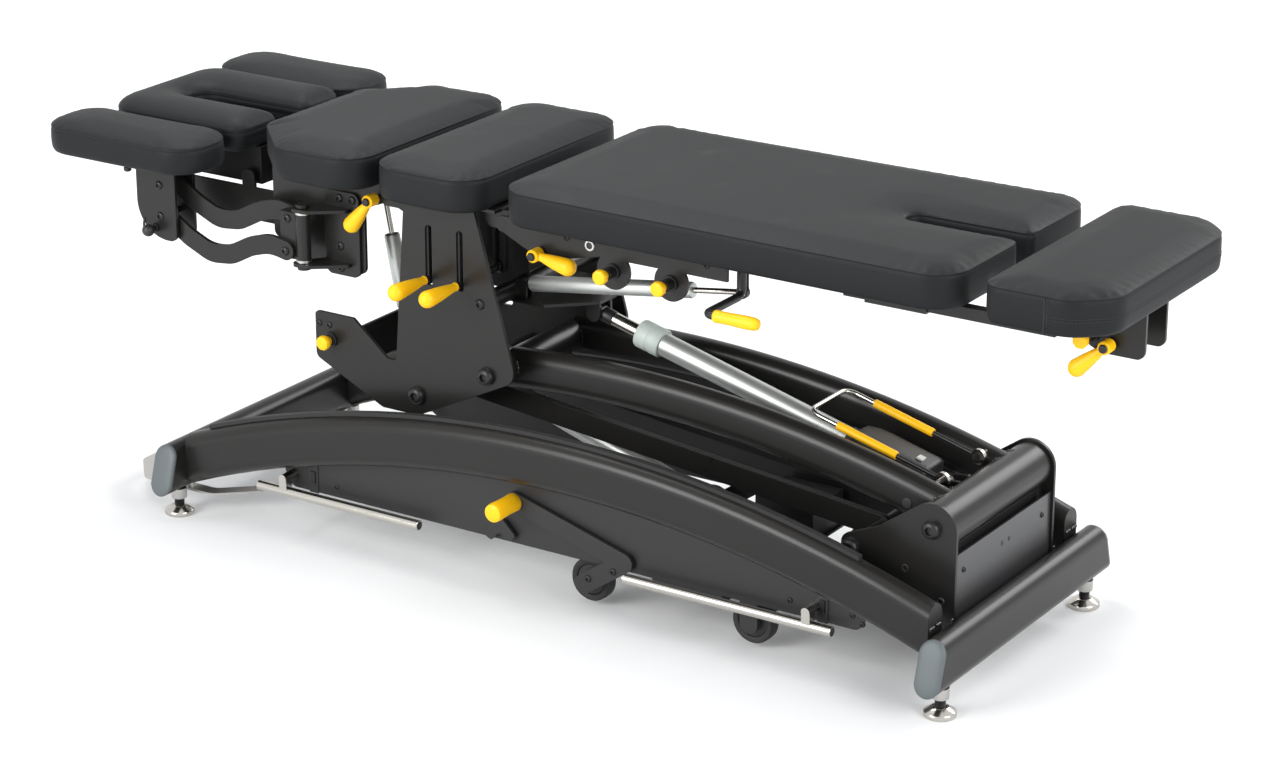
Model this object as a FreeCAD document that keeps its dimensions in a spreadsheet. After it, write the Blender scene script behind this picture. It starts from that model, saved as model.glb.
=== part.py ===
"""Mobilisation table: padded sections on a motor-lifted parallelogram frame.

Frame: millimetres, +Z up, +X towards the foot end, -Y the side with the hand levers.
The origin lies on the floor, in the middle of the table's length and width.
"""
import FreeCAD
import Part
import math
import os
import re
from collections import namedtuple
from types import SimpleNamespace

SIZES = {
    # general stock and fits
    "running_gap": "0.05",
    "side_gap": "0.5",
    "seat_gap": "0.3",
    "overrun": "20",
    "plate_thick": "6",
    "sheet_thick": "4",
    "pin_radius": "8",
    "small_pin_radius": "5",
    # base frame
    "foot_rear_x": "778.5",
    "foot_front_x": "-779.5",
    "foot_y": "256",
    "foot_disc_radius": "27",
    "foot_disc_edge": "9",
    "foot_disc_height": "17",
    "foot_neck_radius": "9",
    "foot_stem_radius": "14",
    "foot_stem_z": "30",
    "tube_height": "90",
    "tube_width": "46",
    "cross_tube_z": "94",
    "cross_tube_half": "292",
    "cross_tube_slant": "14",
    "cap_thick": "6",
    "rail_y": "238",
    "rail_crest_x": "32.5",
    "rail_crest_z": "258",
    "rail_radius": "2130",
    "strip_width": "12",
    "strip_height": "7",
    "strip_start_x": "-711.5",
    "strip_end_x": "618.5",
    # side panels and inner chassis
    "panel_inner_y": "211",
    "panel_low_z": "88",
    "panel_front_x": "-581.5",
    "panel_rear_x": "638.5",
    "panel_slope": "30",
    "panel_corner": "20",
    "panel_backing": "11",
    "tray_front_x": "208.5",
    "tray_rear_x": "344.5",
    "tray_z": "70",
    "tray_flange": "40",
    "hanger_width": "34",
    # pivot brackets at the foot end
    "base_pivot_x": "711.5",
    "base_pivot_z": "274",
    "bracket_y": "168",
    "bracket_rear_x": "755.2",
    "bracket_low_z": "100",
    "bracket_top_radius": "44",
    "bracket_apex_z": "358",
    "bracket_toe_x": "546.5",
    "bracket_toe_radius": "18",
    "bracket_flank_x": "610.5",
    "bracket_flank_z": "256",
    "bracket_heel_x": "638.5",
    "cover_top_z": "232",
    "cover_x": "746.5",
    # lift arms
    "arm_y": "98",
    "arm_height": "72",
    "arm_crest_x": "56.5",
    "arm_crest_z": "366",
    "arm_radius": "2300",
    "rear_tube_radius": "38",
    "front_tube_radius": "26",
    "arm_tube_half": "166",
    "lift_shaft_radius": "12",
    "bolt_head_radius": "16",
    "bolt_head_height": "5",
    # column
    "column_pivot_x": "-147.5",
    "column_pivot_z": "363",
    "link_pivot_x": "-294.5",
    "link_pivot_z": "300",
    "column_y": "172",
    "column_top_z": "654.7",
    "hinge_drop": "13.7",
    "hinge_z": "=column_top_z - hinge_drop",
    "column_top_front_x": "-315.5",
    "column_top_rear_x": "-170.5",
    "column_foot_x": "-87.5",
    "column_low_z": "262",
    "column_fork_x": "-514.5",
    "column_fork_top_z": "414",
    "column_fork_low_z": "330",
    "column_neck_x": "-339.5",
    "column_notch_z": "354",
    "column_notch_x": "-359.5",
    "column_prong_x": "-431.5",
    "column_heel_x": "-371.5",
    "column_corner": "14",
    "slot_width": "15",
    "slot_front_x": "-264.5",
    "slot_rear_x": "-199.5",
    "slot_low_z": "505",
    "slot_top_z": "612",
    "web_x": "-421.5",
    "cross_pin_x": "-162.5",
    "cross_pin_z": "488",
    "cross_pin_radius": "16",
    "arm_plate_tip_x": "-17.5",
    "arm_plate_half": "92",
    "lower_link_y": "70",
    "lower_link_thick": "12",
    "lower_link_height": "40",
    # top carrier with the hinges of both sections
    "chest_hinge_x": "-363.5",
    "leg_hinge_x": "-109.5",
    "hinge_ear_y": "153",
    "hinge_ear_radius": "17",
    "carrier_half": "178",
    # actuators
    "actuator_radius": "20",
    "actuator_rod_radius": "12",
    "collar_radius": "25",
    "collar_length": "46",
    "lift_low_x": "323.5",
    "lift_low_z": "98",
    "lift_tube_length": "470",
    "lift_foot_length": "34",
    "upper_rear_x": "640.5",
    "upper_rear_z": "270",
    "upper_tip_x": "-36.5",
    "upper_tip_z": "450",
    "motor_length": "150",
    "motor_width": "76",
    "motor_height": "66",
    "motor_gap": "26",
    "motor_can_radius": "25",
    "motor_can_length": "120",
    "upper_tube_length": "436",
    "rod_eye_radius": "21",
    "rod_eye_width": "26",
    "tip_eye_radius": "14",
    "lower_tip_radius": "30",
    "rod_insert": "200",
    "bore_stop": "60",
    # gas springs
    "gas_radius": "14",
    "gas_rod_radius": "5",
    "gas_eye_radius": "11",
    "gas_eye_width": "12",
    "gas_neck": "16",
    "gas_bore_stop": "30",
    "gas_insert": "80",
    "open_pivot_gap": "3",
    "link_open_gap": "0.5",
    "lower_open_gap": "11",
    "upper_open_gap": "5.2",
    "leg_gas_y": "75",
    "leg_gas_x": "-139.5",
    "leg_gas_z": "503",
    "leg_gas_end_x": "296.5",
    "leg_gas_end_z": "566",
    "leg_gas_tube": "345",
    "chest_gas_y": "60",
    "chest_gas_x": "-403.5",
    "chest_gas_z": "390",
    "chest_gas_end_x": "-445.5",
    "chest_gas_end_z": "604",
    "chest_gas_tube": "150",
    # pads
    "pad_base_z": "=column_top_z + plate_thick + seat_gap",
    "pad_thick": "70",
    "head_pad_thick": "62",
    "pad_crown": "6",
    "pad_draw": "5",
    "pad_edge": "16",
    "pad_shoulder": "6",
    "pad_crown_inset": "44",
    "pad_corner": "62",
    "mid_pad_front_x": "-351.5",
    "mid_pad_rear_x": "-133.5",
    "mid_pad_half": "238",
    "main_pad_front_x": "-83.5",
    "main_pad_rear_x": "768.5",
    "main_pad_front_half": "240",
    "main_pad_rear_half": "246",
    "main_slot_x": "558.5",
    "main_slot_half": "22",
    "slot_margin": "20",
    "chest_pad_front_x": "-651.5",
    "chest_pad_shoulder_x": "-541.5",
    "chest_pad_rear_x": "-373.5",
    "chest_pad_half": "238",
    "chest_pad_nose_half": "128",
    "chest_pad_nose_corner": "40",
    "head_pad_front_x": "-1006.5",
    "head_pad_rear_x": "-693.5",
    "head_pad_half": "150",
    "head_slot_x": "-926.5",
    "head_slot_half": "36",
    "leaf_pad_front_x": "816.5",
    "leaf_pad_rear_x": "1023.5",
    "leaf_pad_half": "245",
    "leaf_pad_bevel": "55",
    "armrest_front_x": "-1023.5",
    "armrest_rear_x": "-685.5",
    "armrest_inner_y": "162",
    "armrest_outer_y": "310",
    "armrest_base_z": "655",
    "armrest_thick": "60",
    # chest section frame
    "chest_frame_half": "150",
    "chest_frame_front_x": "-621.5",
    "chest_frame_low_z": "486",
    "chest_frame_rear_x": "-421.5",
    "beam_y": "100",
    "beam_front_x": "-859.5",
    "beam_low_z": "528",
    "beam_top_z": "588",
    "head_hinge_x": "-713.5",
    "head_hinge_z": "606",
    "head_box_front_x": "-926.5",
    "head_box_rear_x": "-693.5",
    "head_box_half": "92",
    "head_box_low_z": "592",
    # armrest linkage
    "post_x": "-521.5",
    "post_y": "195",
    "post_radius": "13",
    "post_low_z": "506",
    "post_top_z": "598",
    "post_pin_radius": "6",
    "post_pin_head": "12",
    "lug_reach": "17",
    "lug_corner": "12",
    "mount_front_x": "-503.5",
    "mount_rear_x": "-429.5",
    "mount_low_z": "480",
    "mount_top_z": "632",
    "post_block_x": "-565.5",
    "post_block_half": "8",
    "arm_link_x": "-549.5",
    "arm_link_low_z": "525",
    "arm_link_step": "57",
    "arm_link_reach": "272",
    "arm_link_rise": "20",
    "arm_link_thick": "8",
    "arm_link_half": "17",
    "arm_link_sag": "46",
    "arm_link_bend": "70",
    "arm_pin_radius": "6",
    "armrest_plate_outer_y": "222",
    "armrest_plate_inner_y": "166",
    "carrier_front_x": "-873.5",
    "carrier_rear_x": "-785.5",
    "carrier_low_z": "502",
    "carrier_round": "68",
    "carrier_flange_front_x": "-951.5",
    "knob_ball_radius": "11",
    "knob_stand": "20",
    # leg section frame
    "leg_plate_y": "174",
    "leg_plate_rear_x": "330.5",
    "leg_plate_neck_z": "618",
    "leg_top_rear_x": "738.5",
    "leg_lobe_a_x": "111.5",
    "leg_lobe_b_x": "223.5",
    "leg_lobe_z": "598",
    "leg_lobe_radius": "32",
    "guide_front_x": "578.5",
    "guide_length": "110",
    "guide_wall": "3",
    "slide_bar": "20",
    "slide_bar_y": "160",
    "slide_bar_front_x": "538.5",
    # leaf frame
    "leaf_bracket_x": "923.5",
    "leaf_bracket_length": "76",
    "leaf_bracket_half": "40",
    "leaf_bracket_lead": "20",
    "leaf_bracket_low_z": "572",
    "leaf_knob_x": "908.5",
    "leaf_knob_z": "600",
    "leaf_lever_x": "942.5",
    "leaf_lever_z": "590",
    "leaf_lever_tilt": "42",
    # hand levers and knobs
    "grip_radius": "11",
    "grip_neck_radius": "6",
    "grip_length": "95",
    "grip_fat_radius": "15",
    "drop_length": "72",
    "lever_rod_radius": "5",
    "lever_shaft_y": "60",
    "lever_shaft_z": "518",
    "lever_grip_start": "132",
    "lever_lug_thick": "5",
    "lever_eye_radius": "11",
    "knob_radius": "13",
    "knob_length": "20",
    "knob_neck_radius": "8",
    "knob_barrel_radius": "10",
    "knob_barrel_length": "24",
    "column_barrel_length": "8",
    "column_knob_x": "-480.5",
    "column_knob_z": "366",
    "leg_handle_x": "-31.5",
    "leg_handle_z": "605",
    "leg_handle_tilt": "9",
    "chest_handle_x": "-388.5",
    "chest_handle_z": "634",
    "chest_handle_tilt": "50",
    "crank_x": "340.5",
    "crank_y": "150",
    "crank_low_z": "590",
    "crank_reach": "112",
    "crank_elbow": "18",
    "crank_rod_radius": "7",
    "crank_grip_length": "82",
    # foot controls
    "foot_bar_radius": "9",
    "foot_bar_y": "242",
    "foot_bar_z": "88",
    "front_bar_start_x": "-601.5",
    "front_bar_end_x": "-251.5",
    "front_bar_shaft_x": "-543.5",
    "rear_bar_start_x": "174.5",
    "rear_bar_end_x": "570.5",
    "rear_bar_shaft_x": "526.5",
    "bar_shaft_z": "114",
    "bar_arm_width": "16",
    "bar_shaft_radius": "8",
    "pedal_pivot_x": "160.5",
    "pedal_pivot_z": "106",
    "pedal_shaft_radius": "8",
    "pedal_plate_y": "219",
    "pedal_plate_thick": "7",
    "pedal_grip_x": "-61.5",
    "pedal_grip_z": "168",
    "pedal_grip_length": "62",
    "pedal_grip_radius": "15",
    "wheel_x": "78.5",
    "wheel_z": "49",
    "wheel_radius": "39",
    "wheel_width": "26",
    "wheel_inner_y": "178",
    "axle_radius": "8",
    "rear_wheel_x": "398.5",
    "latch_x": "-93.5",
    "latch_z": "122",
    "latch_size": "34",
    "hoop_rear_x": "-661.5",
    "hoop_corner_x": "-726.5",
    "hoop_front_x": "-926.5",
    "hoop_chamfer_x": "-873.5",
    "hoop_half": "222",
    "hoop_narrow_half": "164",
    "hoop_z": "38",
    "hoop_width": "26",
    # inner units
    "box_front_x": "222.5",
    "box_rear_x": "338.5",
    "box_inner_y": "96",
    "box_outer_y": "200",
    "box_height": "62",
    "bail_y": "62",
    "bail_radius": "4",
    "bail_bend": "20",
    "bail_sleeve_radius": "7",
    "bail_front_x": "418.5",
    "bail_front_z": "380",
    "bail_pivot_x": "668.5",
    "bail_pivot_z": "312",
    "bail_boss_radius": "5",
    "bail_sleeve_start": "88",
    "bail_sleeve_length": "115",
}

doc = FreeCAD.newDocument("mobilisation_table")
sheet = doc.addObject("Spreadsheet::Sheet", "Sizes")
for row, (alias, text) in enumerate(SIZES.items(), start=1):
    sheet.set(f"A{row}", alias)
    sheet.set(f"B{row}", text)
    sheet.setAlias(f"B{row}", alias)
doc.recompute()
d = SimpleNamespace(**{alias: float(sheet.get(alias)) for alias in SIZES})

Via = namedtuple("Via", "u v")
nodes = {}


def bound(text):
    """Expression text with every word in it read from the sheet of sizes."""
    return re.sub(r"[a-z_]+", lambda word: "Sizes." + word.group(0), text)


def vector(*point):
    return FreeCAD.Vector(*point)


def corner_points(before, point, after, radius):
    """First, middle and last point of the arc that rounds one corner."""
    back = (before - point).normalize()
    ahead = (after - point).normalize()
    half = back.getAngle(ahead) / 2
    reach = radius / math.tan(half)
    centre = point + (back + ahead).normalize() * (radius / math.sin(half))
    middle = centre + (point - centre).normalize() * radius
    return point + back * reach, middle, point + ahead * reach


def outline_edges(outline):
    """Lines and arcs of a closed outline of (u, v), (u, v, corner radius) and Via points."""
    corners = []
    for index, item in enumerate(outline):
        if isinstance(item, Via):
            continue
        point = vector(item[0], item[1], 0)
        radius = item[2] if len(item) > 2 else 0
        following = outline[(index + 1) % len(outline)]
        via = vector(following.u, following.v, 0) if isinstance(following, Via) else None
        corners.append((point, radius, via))
    joints = []
    for index, (point, radius, via) in enumerate(corners):
        before = corners[index - 1][0]
        after = corners[(index + 1) % len(corners)][0]
        joints.append(corner_points(before, point, after, radius) if radius else (point, None, point))
    edges = []
    for index, (start, middle, end) in enumerate(joints):
        if middle is not None:
            edges.append(Part.Arc(start, middle, end))
        target = joints[(index + 1) % len(joints)][0]
        via = corners[index][2]
        edges.append(Part.Arc(end, via, target) if via else Part.LineSegment(end, target))
    return edges


def make_sketch(body, role, outlines, circles=(), height=None):
    """Sketch on an origin plane of a body, with closed outlines and (u, v, radius) circles."""
    sketch = body.newObject("Sketcher::SketchObject", "Outline")
    plane = [feature for feature in body.Origin.OriginFeatures if feature.Role == role][0]
    sketch.AttachmentSupport = [(plane, "")]
    sketch.MapMode = "FlatFace"
    if height is not None:
        sketch.AttachmentOffset = FreeCAD.Placement(vector(0, 0, height), FreeCAD.Rotation())
    for outline in outlines:
        sketch.addGeometry(outline_edges(outline), False)
    for u, v, radius in circles:
        sketch.addGeometry(Part.Circle(vector(u, v, 0), vector(0, 0, 1), radius), False)
    return sketch


NORMALS = {"XY_Plane": (0, 0, 1), "XZ_Plane": (0, 1, 0), "YZ_Plane": (1, 0, 0)}


def plate(name, role, outlines, thick, at, circles=()):
    """Flat piece padded from the position at, along the normal of its sketch plane."""
    body = doc.addObject("PartDesign::Body", name)
    pad = body.newObject("PartDesign::Pad", "Pad")
    pad.Profile = make_sketch(body, role, outlines, circles)
    pad.setExpression("Length", bound(thick))
    body.Placement = FreeCAD.Placement(vector(*NORMALS[role]) * at, FreeCAD.Rotation())
    return body


def along(start, end):
    """Placement whose local Z axis runs from start to end."""
    turn = FreeCAD.Rotation(vector(0, 0, 1), vector(*end) - vector(*start))
    return FreeCAD.Placement(vector(*start), turn)


def turned(name, outline, place, angle=360):
    """Round piece turned about its local Z axis from an outline of (radius, height)."""
    body = doc.addObject("PartDesign::Body", name)
    revolution = body.newObject("PartDesign::Revolution", "Revolution")
    profile = make_sketch(body, "XZ_Plane", [outline])
    revolution.Profile = profile
    revolution.ReferenceAxis = (profile, ["V_Axis"])
    revolution.Angle = angle
    body.Placement = place
    return body


def ring(name, outer, inner, start, length, place):
    """Plain sleeve about the local Z axis of its placement."""
    stop = start + length
    return turned(name, [(inner, start), (outer, start), (outer, stop), (inner, stop)], place)


def rod(name, radius, length, start, axis):
    """Cylinder whose radius and length are expressions of the sheet."""
    cylinder = doc.addObject("Part::Cylinder", name)
    cylinder.setExpression("Radius", bound(radius))
    cylinder.setExpression("Height", bound(length))
    turn = FreeCAD.Rotation(vector(0, 0, 1), vector(*axis))
    cylinder.Placement = FreeCAD.Placement(vector(*start), turn)
    return cylinder


def block(name, x, y, z):
    """Box between pairs of sheet expressions along each axis."""
    box = doc.addObject("Part::Box", name)
    for side, axis, (low, high) in (("Length", "x", x), ("Width", "y", y), ("Height", "z", z)):
        box.setExpression(side, bound(f"({high}) - ({low})"))
        box.setExpression(f"Placement.Base.{axis}", bound(low))
    return box


def fused(name, parts):
    fusion = doc.addObject("Part::MultiFuse", name)
    fusion.Shapes = parts
    return fusion


def grouped(name, parts):
    """Separate solids kept together under one name."""
    compound = doc.addObject("Part::Compound", name)
    compound.Links = parts
    return compound


def cut(name, base, tools):
    """Base with the tools taken out of it."""
    cutting = doc.addObject("Part::Cut", name)
    cutting.Base = base
    cutting.Tool = tools[0] if len(tools) == 1 else fused(name + "_tool", tools)
    return cutting


def common(name, first, second):
    shared = doc.addObject("Part::Common", name)
    shared.Base = first
    shared.Tool = second
    return shared


def mirrored(part):
    """Twin of a piece on the other side of the table's middle plane."""
    twin = doc.addObject("Part::Mirroring", part.Name + "_twin")
    twin.Source = part
    twin.Normal = vector(0, 1, 0)
    return twin


def pair(part):
    return [part, mirrored(part)]


def node(name, part):
    """Enter a finished piece under the name that its file takes."""
    part.Label = name
    nodes[name] = part


def stadium(u, v, half_width, half_height):
    """Upright outline with round ends."""
    straight = half_height - half_width
    return [
        (u + half_width, v - straight),
        (u + half_width, v + straight),
        Via(u, v + half_height),
        (u - half_width, v + straight),
        (u - half_width, v - straight),
        Via(u, v - half_height),
    ]


def bar_outline(start, end, half):
    """Outline with round ends about the line from start to end."""
    first = vector(*start, 0)
    last = vector(*end, 0)
    ahead = (last - first).normalize() * half
    side = vector(-ahead.y, ahead.x, 0)
    points = [first - side, last - side, last + ahead, last + side, first + side, first - ahead]
    return [Via(p.x, p.y) if index in (2, 5) else (p.x, p.y) for index, p in enumerate(points)]


def ribbon(route, half, bend, round_ends=True):
    """Outline of a strip of constant width along a route of points with bends."""
    points = [vector(*point, 0) for point in route]
    sides = ([], [])
    for index, point in enumerate(points):
        ahead = (points[min(index + 1, len(points) - 1)] - points[min(index, len(points) - 2)]).normalize()
        behind = (points[max(index, 1)] - points[max(index - 1, 0)]).normalize()
        across = vector(-ahead.y - behind.y, ahead.x + behind.x, 0).normalize()
        reach = half / across.dot(vector(-ahead.y, ahead.x, 0))
        inner = 0 < index < len(points) - 1
        for side, sign in zip(sides, (1, -1)):
            spot = point + across * (reach * sign)
            side.append((spot.x, spot.y, bend) if inner else (spot.x, spot.y))
    left, right = sides
    if not round_ends:
        return right + left[::-1]
    end = points[-1] + (points[-1] - points[-2]).normalize() * half
    start = points[0] + (points[0] - points[1]).normalize() * half
    return right + [Via(end.x, end.y)] + left[::-1] + [Via(start.x, start.y)]


def rectangle(low_u, low_v, high_u, high_v, radius=0):
    corners = [(low_u, low_v), (high_u, low_v), (high_u, high_v), (low_u, high_v)]
    return [(u, v, radius) if radius else (u, v) for u, v in corners]


def inset(outline, depth):
    """The same rounded polygon, counterclockwise, drawn in by a depth on every side."""
    result = []
    count = len(outline)
    for index, (u, v, radius) in enumerate(outline):
        point = vector(u, v, 0)
        back = (point - vector(*outline[index - 1][:2], 0)).normalize()
        ahead = (vector(*outline[(index + 1) % count][:2], 0) - point).normalize()
        across = (vector(-back.y, back.x, 0) + vector(-ahead.y, ahead.x, 0)).normalize()
        spot = point + across * (depth / across.dot(vector(-ahead.y, ahead.x, 0)))
        outward = back.x * ahead.y - back.y * ahead.x > 0
        changed = max(radius - depth, radius * LEAST_CORNER_SHARE) if outward else radius + depth
        result.append((spot.x, spot.y, changed))
    return result


LEAST_CORNER_SHARE = 0.15


def cushion(name, outline, base_z, thick):
    """Padded section: drawn in at its foot, upright at the side, with a sewn shoulder and a crown."""
    body = doc.addObject("PartDesign::Body", name)
    side_top = thick - d.pad_crown - d.pad_shoulder
    levels = (
        (0, d.pad_draw),
        (d.pad_edge, 0),
        (side_top, 0),
        (thick - d.pad_crown, d.pad_shoulder),
        (thick, d.pad_crown_inset),
    )
    rings = [make_sketch(body, "XY_Plane", [inset(outline, depth)], height=level) for level, depth in levels]
    loft = body.newObject("PartDesign::AdditiveLoft", "Loft")
    loft.Profile = rings[0]
    loft.Sections = rings[1:]
    loft.Ruled = True
    body.Placement = FreeCAD.Placement(vector(0, 0, base_z), FreeCAD.Rotation())
    return body


def bent_rod(name, radius, route, bend):
    """Round bar along straight runs joined by tangent arcs."""
    points = [vector(*point) for point in route]
    edges = []
    start = points[0]
    for before, point, after in zip(points, points[1:], points[2:]):
        first, middle, last = corner_points(before, point, after, bend)
        edges.append(Part.LineSegment(start, first).toShape())
        edges.append(Part.Arc(first, middle, last).toShape())
        start = last
    edges.append(Part.LineSegment(start, points[-1]).toShape())
    spine = Part.Wire(edges)
    section = Part.Wire([Part.makeCircle(radius, points[0], points[1] - points[0])])
    bar = doc.addObject("Part::Feature", name)
    bar.Shape = spine.makePipeShell([section], True, False)
    return bar


def grip_outline(neck, fat, length, start):
    """Half section of a drop-shaped grip that swells from its neck to a round end."""
    diagonal = fat * math.sqrt(0.5)
    return [
        (0, start),
        (neck, start),
        (fat, start + length - fat),
        Via(diagonal, start + length - fat + diagonal),
        (0, start + length),
    ]


def arc_height(x, crest_x, crest_z, radius, offset=0):
    """Height at x of a circle of the given crest, shifted outward by an offset."""
    return crest_z - radius + math.sqrt((radius + offset) ** 2 - (x - crest_x) ** 2)


def arched(name, profile, y, crest_x, crest_z, radius):
    """Profile of (across, distance from centre) swept along an arc in the upright plane at y."""
    body = doc.addObject("PartDesign::Body", name)
    revolution = body.newObject("PartDesign::Revolution", "Revolution")
    section = make_sketch(body, "YZ_Plane", [profile])
    revolution.Profile = section
    revolution.ReferenceAxis = (section, ["H_Axis"])
    revolution.Angle = ARCH_ANGLE
    turn = FreeCAD.Rotation(vector(0, 1, 0), -ARCH_ANGLE / 2)
    body.Placement = FreeCAD.Placement(vector(crest_x, y, crest_z - radius), turn)
    return body


ARCH_ANGLE = 60


def across(name, radius, x, z, half):
    """Shaft across the table at x and z, with equal ends on both sides."""
    return rod(name, radius, f"2 * ({half})", (x, -value(half), z), (0, 1, 0))


def value(text):
    """Number of a sheet expression."""
    total = 0
    for sign, word in re.findall(r"([+-]?)\s*([a-z_]+)", text):
        total += getattr(d, word) * (-1 if sign == "-" else 1)
    return total


def crosswise(x, z, y=0):
    """Placement whose local Z axis runs across the table through x and z."""
    return along((x, y, z), (x, y + 1, z))


def pinned(name, radius, x, z, half):
    """Shaft across the table with a round head outside each cheek."""
    end = half + d.bolt_head_height
    head = d.bolt_head_radius
    outline = [(0, -end), (head, -end), (head, -half), (radius, -half)]
    outline += [(radius, half), (head, half), (head, end), (0, end)]
    return turned(name, outline, crosswise(x, z))


def clevis(name, y, spot, root, half, eye, pin, thick):
    """Two lugs that hold an eye between them on a pin; the root lies inside their parent."""
    gap = getattr(d, eye) / 2 + d.side_gap
    lug = getattr(d, thick)
    shape = [bar_outline(spot, root, half)]
    near = plate(name + "_near", "XZ_Plane", shape, thick, y - gap)
    far = plate(name + "_far", "XZ_Plane", shape, thick, y + gap + lug)
    start = (spot[0], y - gap - lug, spot[1])
    pin_length = f"{eye} + 2 * side_gap + 2 * {thick}"
    return [near, far, rod(name + "_pin", pin, pin_length, start, (0, 1, 0))]


def base_frame():
    """Arched side rails on two cross tubes with capped ends, levelling feet and a hoop."""
    half_tube = d.tube_height / 2
    side = d.tube_width / 2
    profile = stadium(0, d.rail_radius, side, half_tube)
    rail = arched("rail", profile, -d.rail_y, d.rail_crest_x, d.rail_crest_z, d.rail_radius)
    across_rail = ("-rail_y - tube_width", "-rail_y + tube_width")
    upright = ("-overrun", "rail_crest_z + tube_height")
    ends = ("foot_front_x + tube_width / 2", "foot_rear_x - tube_width / 2")
    rail_run = common("rail_run", rail, block("rail_bay", ends, across_rail, upright))
    node("side_rails", grouped("side_rails", pair(rail_run)))

    top = d.rail_radius + half_tube
    profile = rectangle(-d.strip_width / 2, top, d.strip_width / 2, top + d.strip_height)
    strip = arched("strip", profile, -d.rail_y, d.rail_crest_x, d.rail_crest_z, d.rail_radius)
    strip_bay = block("strip_bay", ("strip_start_x", "strip_end_x"), across_rail, upright)
    strip_run = common("strip_run", strip, strip_bay)
    node("safety_strips", grouped("safety_strips", pair(strip_run)))

    tubes = []
    caps = []
    feet = []
    low = d.cross_tube_z - half_tube
    high = d.cross_tube_z + half_tube
    foot_half = d.cross_tube_half + d.cross_tube_slant
    top_half = d.cross_tube_half - d.cross_tube_slant
    foot_outline = [
        (0, 0),
        (d.foot_disc_radius, 0),
        (d.foot_disc_radius, d.foot_disc_edge),
        (d.foot_stem_radius, d.foot_disc_height),
        (d.foot_neck_radius, d.foot_disc_height),
        (d.foot_neck_radius, d.foot_stem_z),
        (d.foot_stem_radius, d.foot_stem_z),
        (d.foot_stem_radius, low),
        (0, low),
    ]
    for name, x in (("front", d.foot_front_x), ("rear", d.foot_rear_x)):
        oval = [stadium(x, d.cross_tube_z, side, half_tube)]
        length = "2 * (cross_tube_half + cross_tube_slant + cap_thick)"
        bar = plate(name + "_oval", "XZ_Plane", oval, length, foot_half + d.cap_thick)
        trapezium = [(-foot_half, low), (foot_half, low), (top_half, high), (-top_half, high)]
        wedge = plate(name + "_ends", "YZ_Plane", [trapezium], "2 * tube_width", x - d.tube_width)
        tubes.append(common(name + "_tube", bar, wedge))
        slab = [(-foot_half - d.cap_thick, low), (-foot_half, low)]
        slab += [(-top_half, high), (-top_half - d.cap_thick, high)]
        cap_wedge = plate(name + "_cap_ends", "YZ_Plane", [slab], "2 * tube_width", x - d.tube_width)
        caps += pair(common(name + "_cap", bar, cap_wedge))
        place = FreeCAD.Placement(vector(x, -d.foot_y, 0), FreeCAD.Rotation())
        feet += pair(turned(name + "_foot", foot_outline, place))
    node("cross_tubes", grouped("cross_tubes", tubes))
    node("end_caps", grouped("end_caps", caps))
    node("levelling_feet", grouped("levelling_feet", feet))

    route = [
        (d.hoop_rear_x, -d.hoop_narrow_half),
        (d.hoop_corner_x, -d.hoop_half),
        (d.hoop_chamfer_x, -d.hoop_half),
        (d.hoop_front_x, -d.hoop_narrow_half),
    ]
    route += [(x, -y) for x, y in route[::-1]]
    band = ribbon(route, d.hoop_width / 2, d.hoop_width, round_ends=False)
    hoop = plate("hoop_band", "XY_Plane", [band], "sheet_thick", d.hoop_z)
    post_length = "cross_tube_z - tube_height / 2 - hoop_z - sheet_thick"
    post_start = (d.foot_front_x, -d.hoop_half, d.hoop_z + d.sheet_thick)
    post = rod("hoop_post", "pin_radius", post_length, post_start, (0, 0, 1))
    node("end_hoop", fused("end_hoop", [hoop] + pair(post)))


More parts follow.
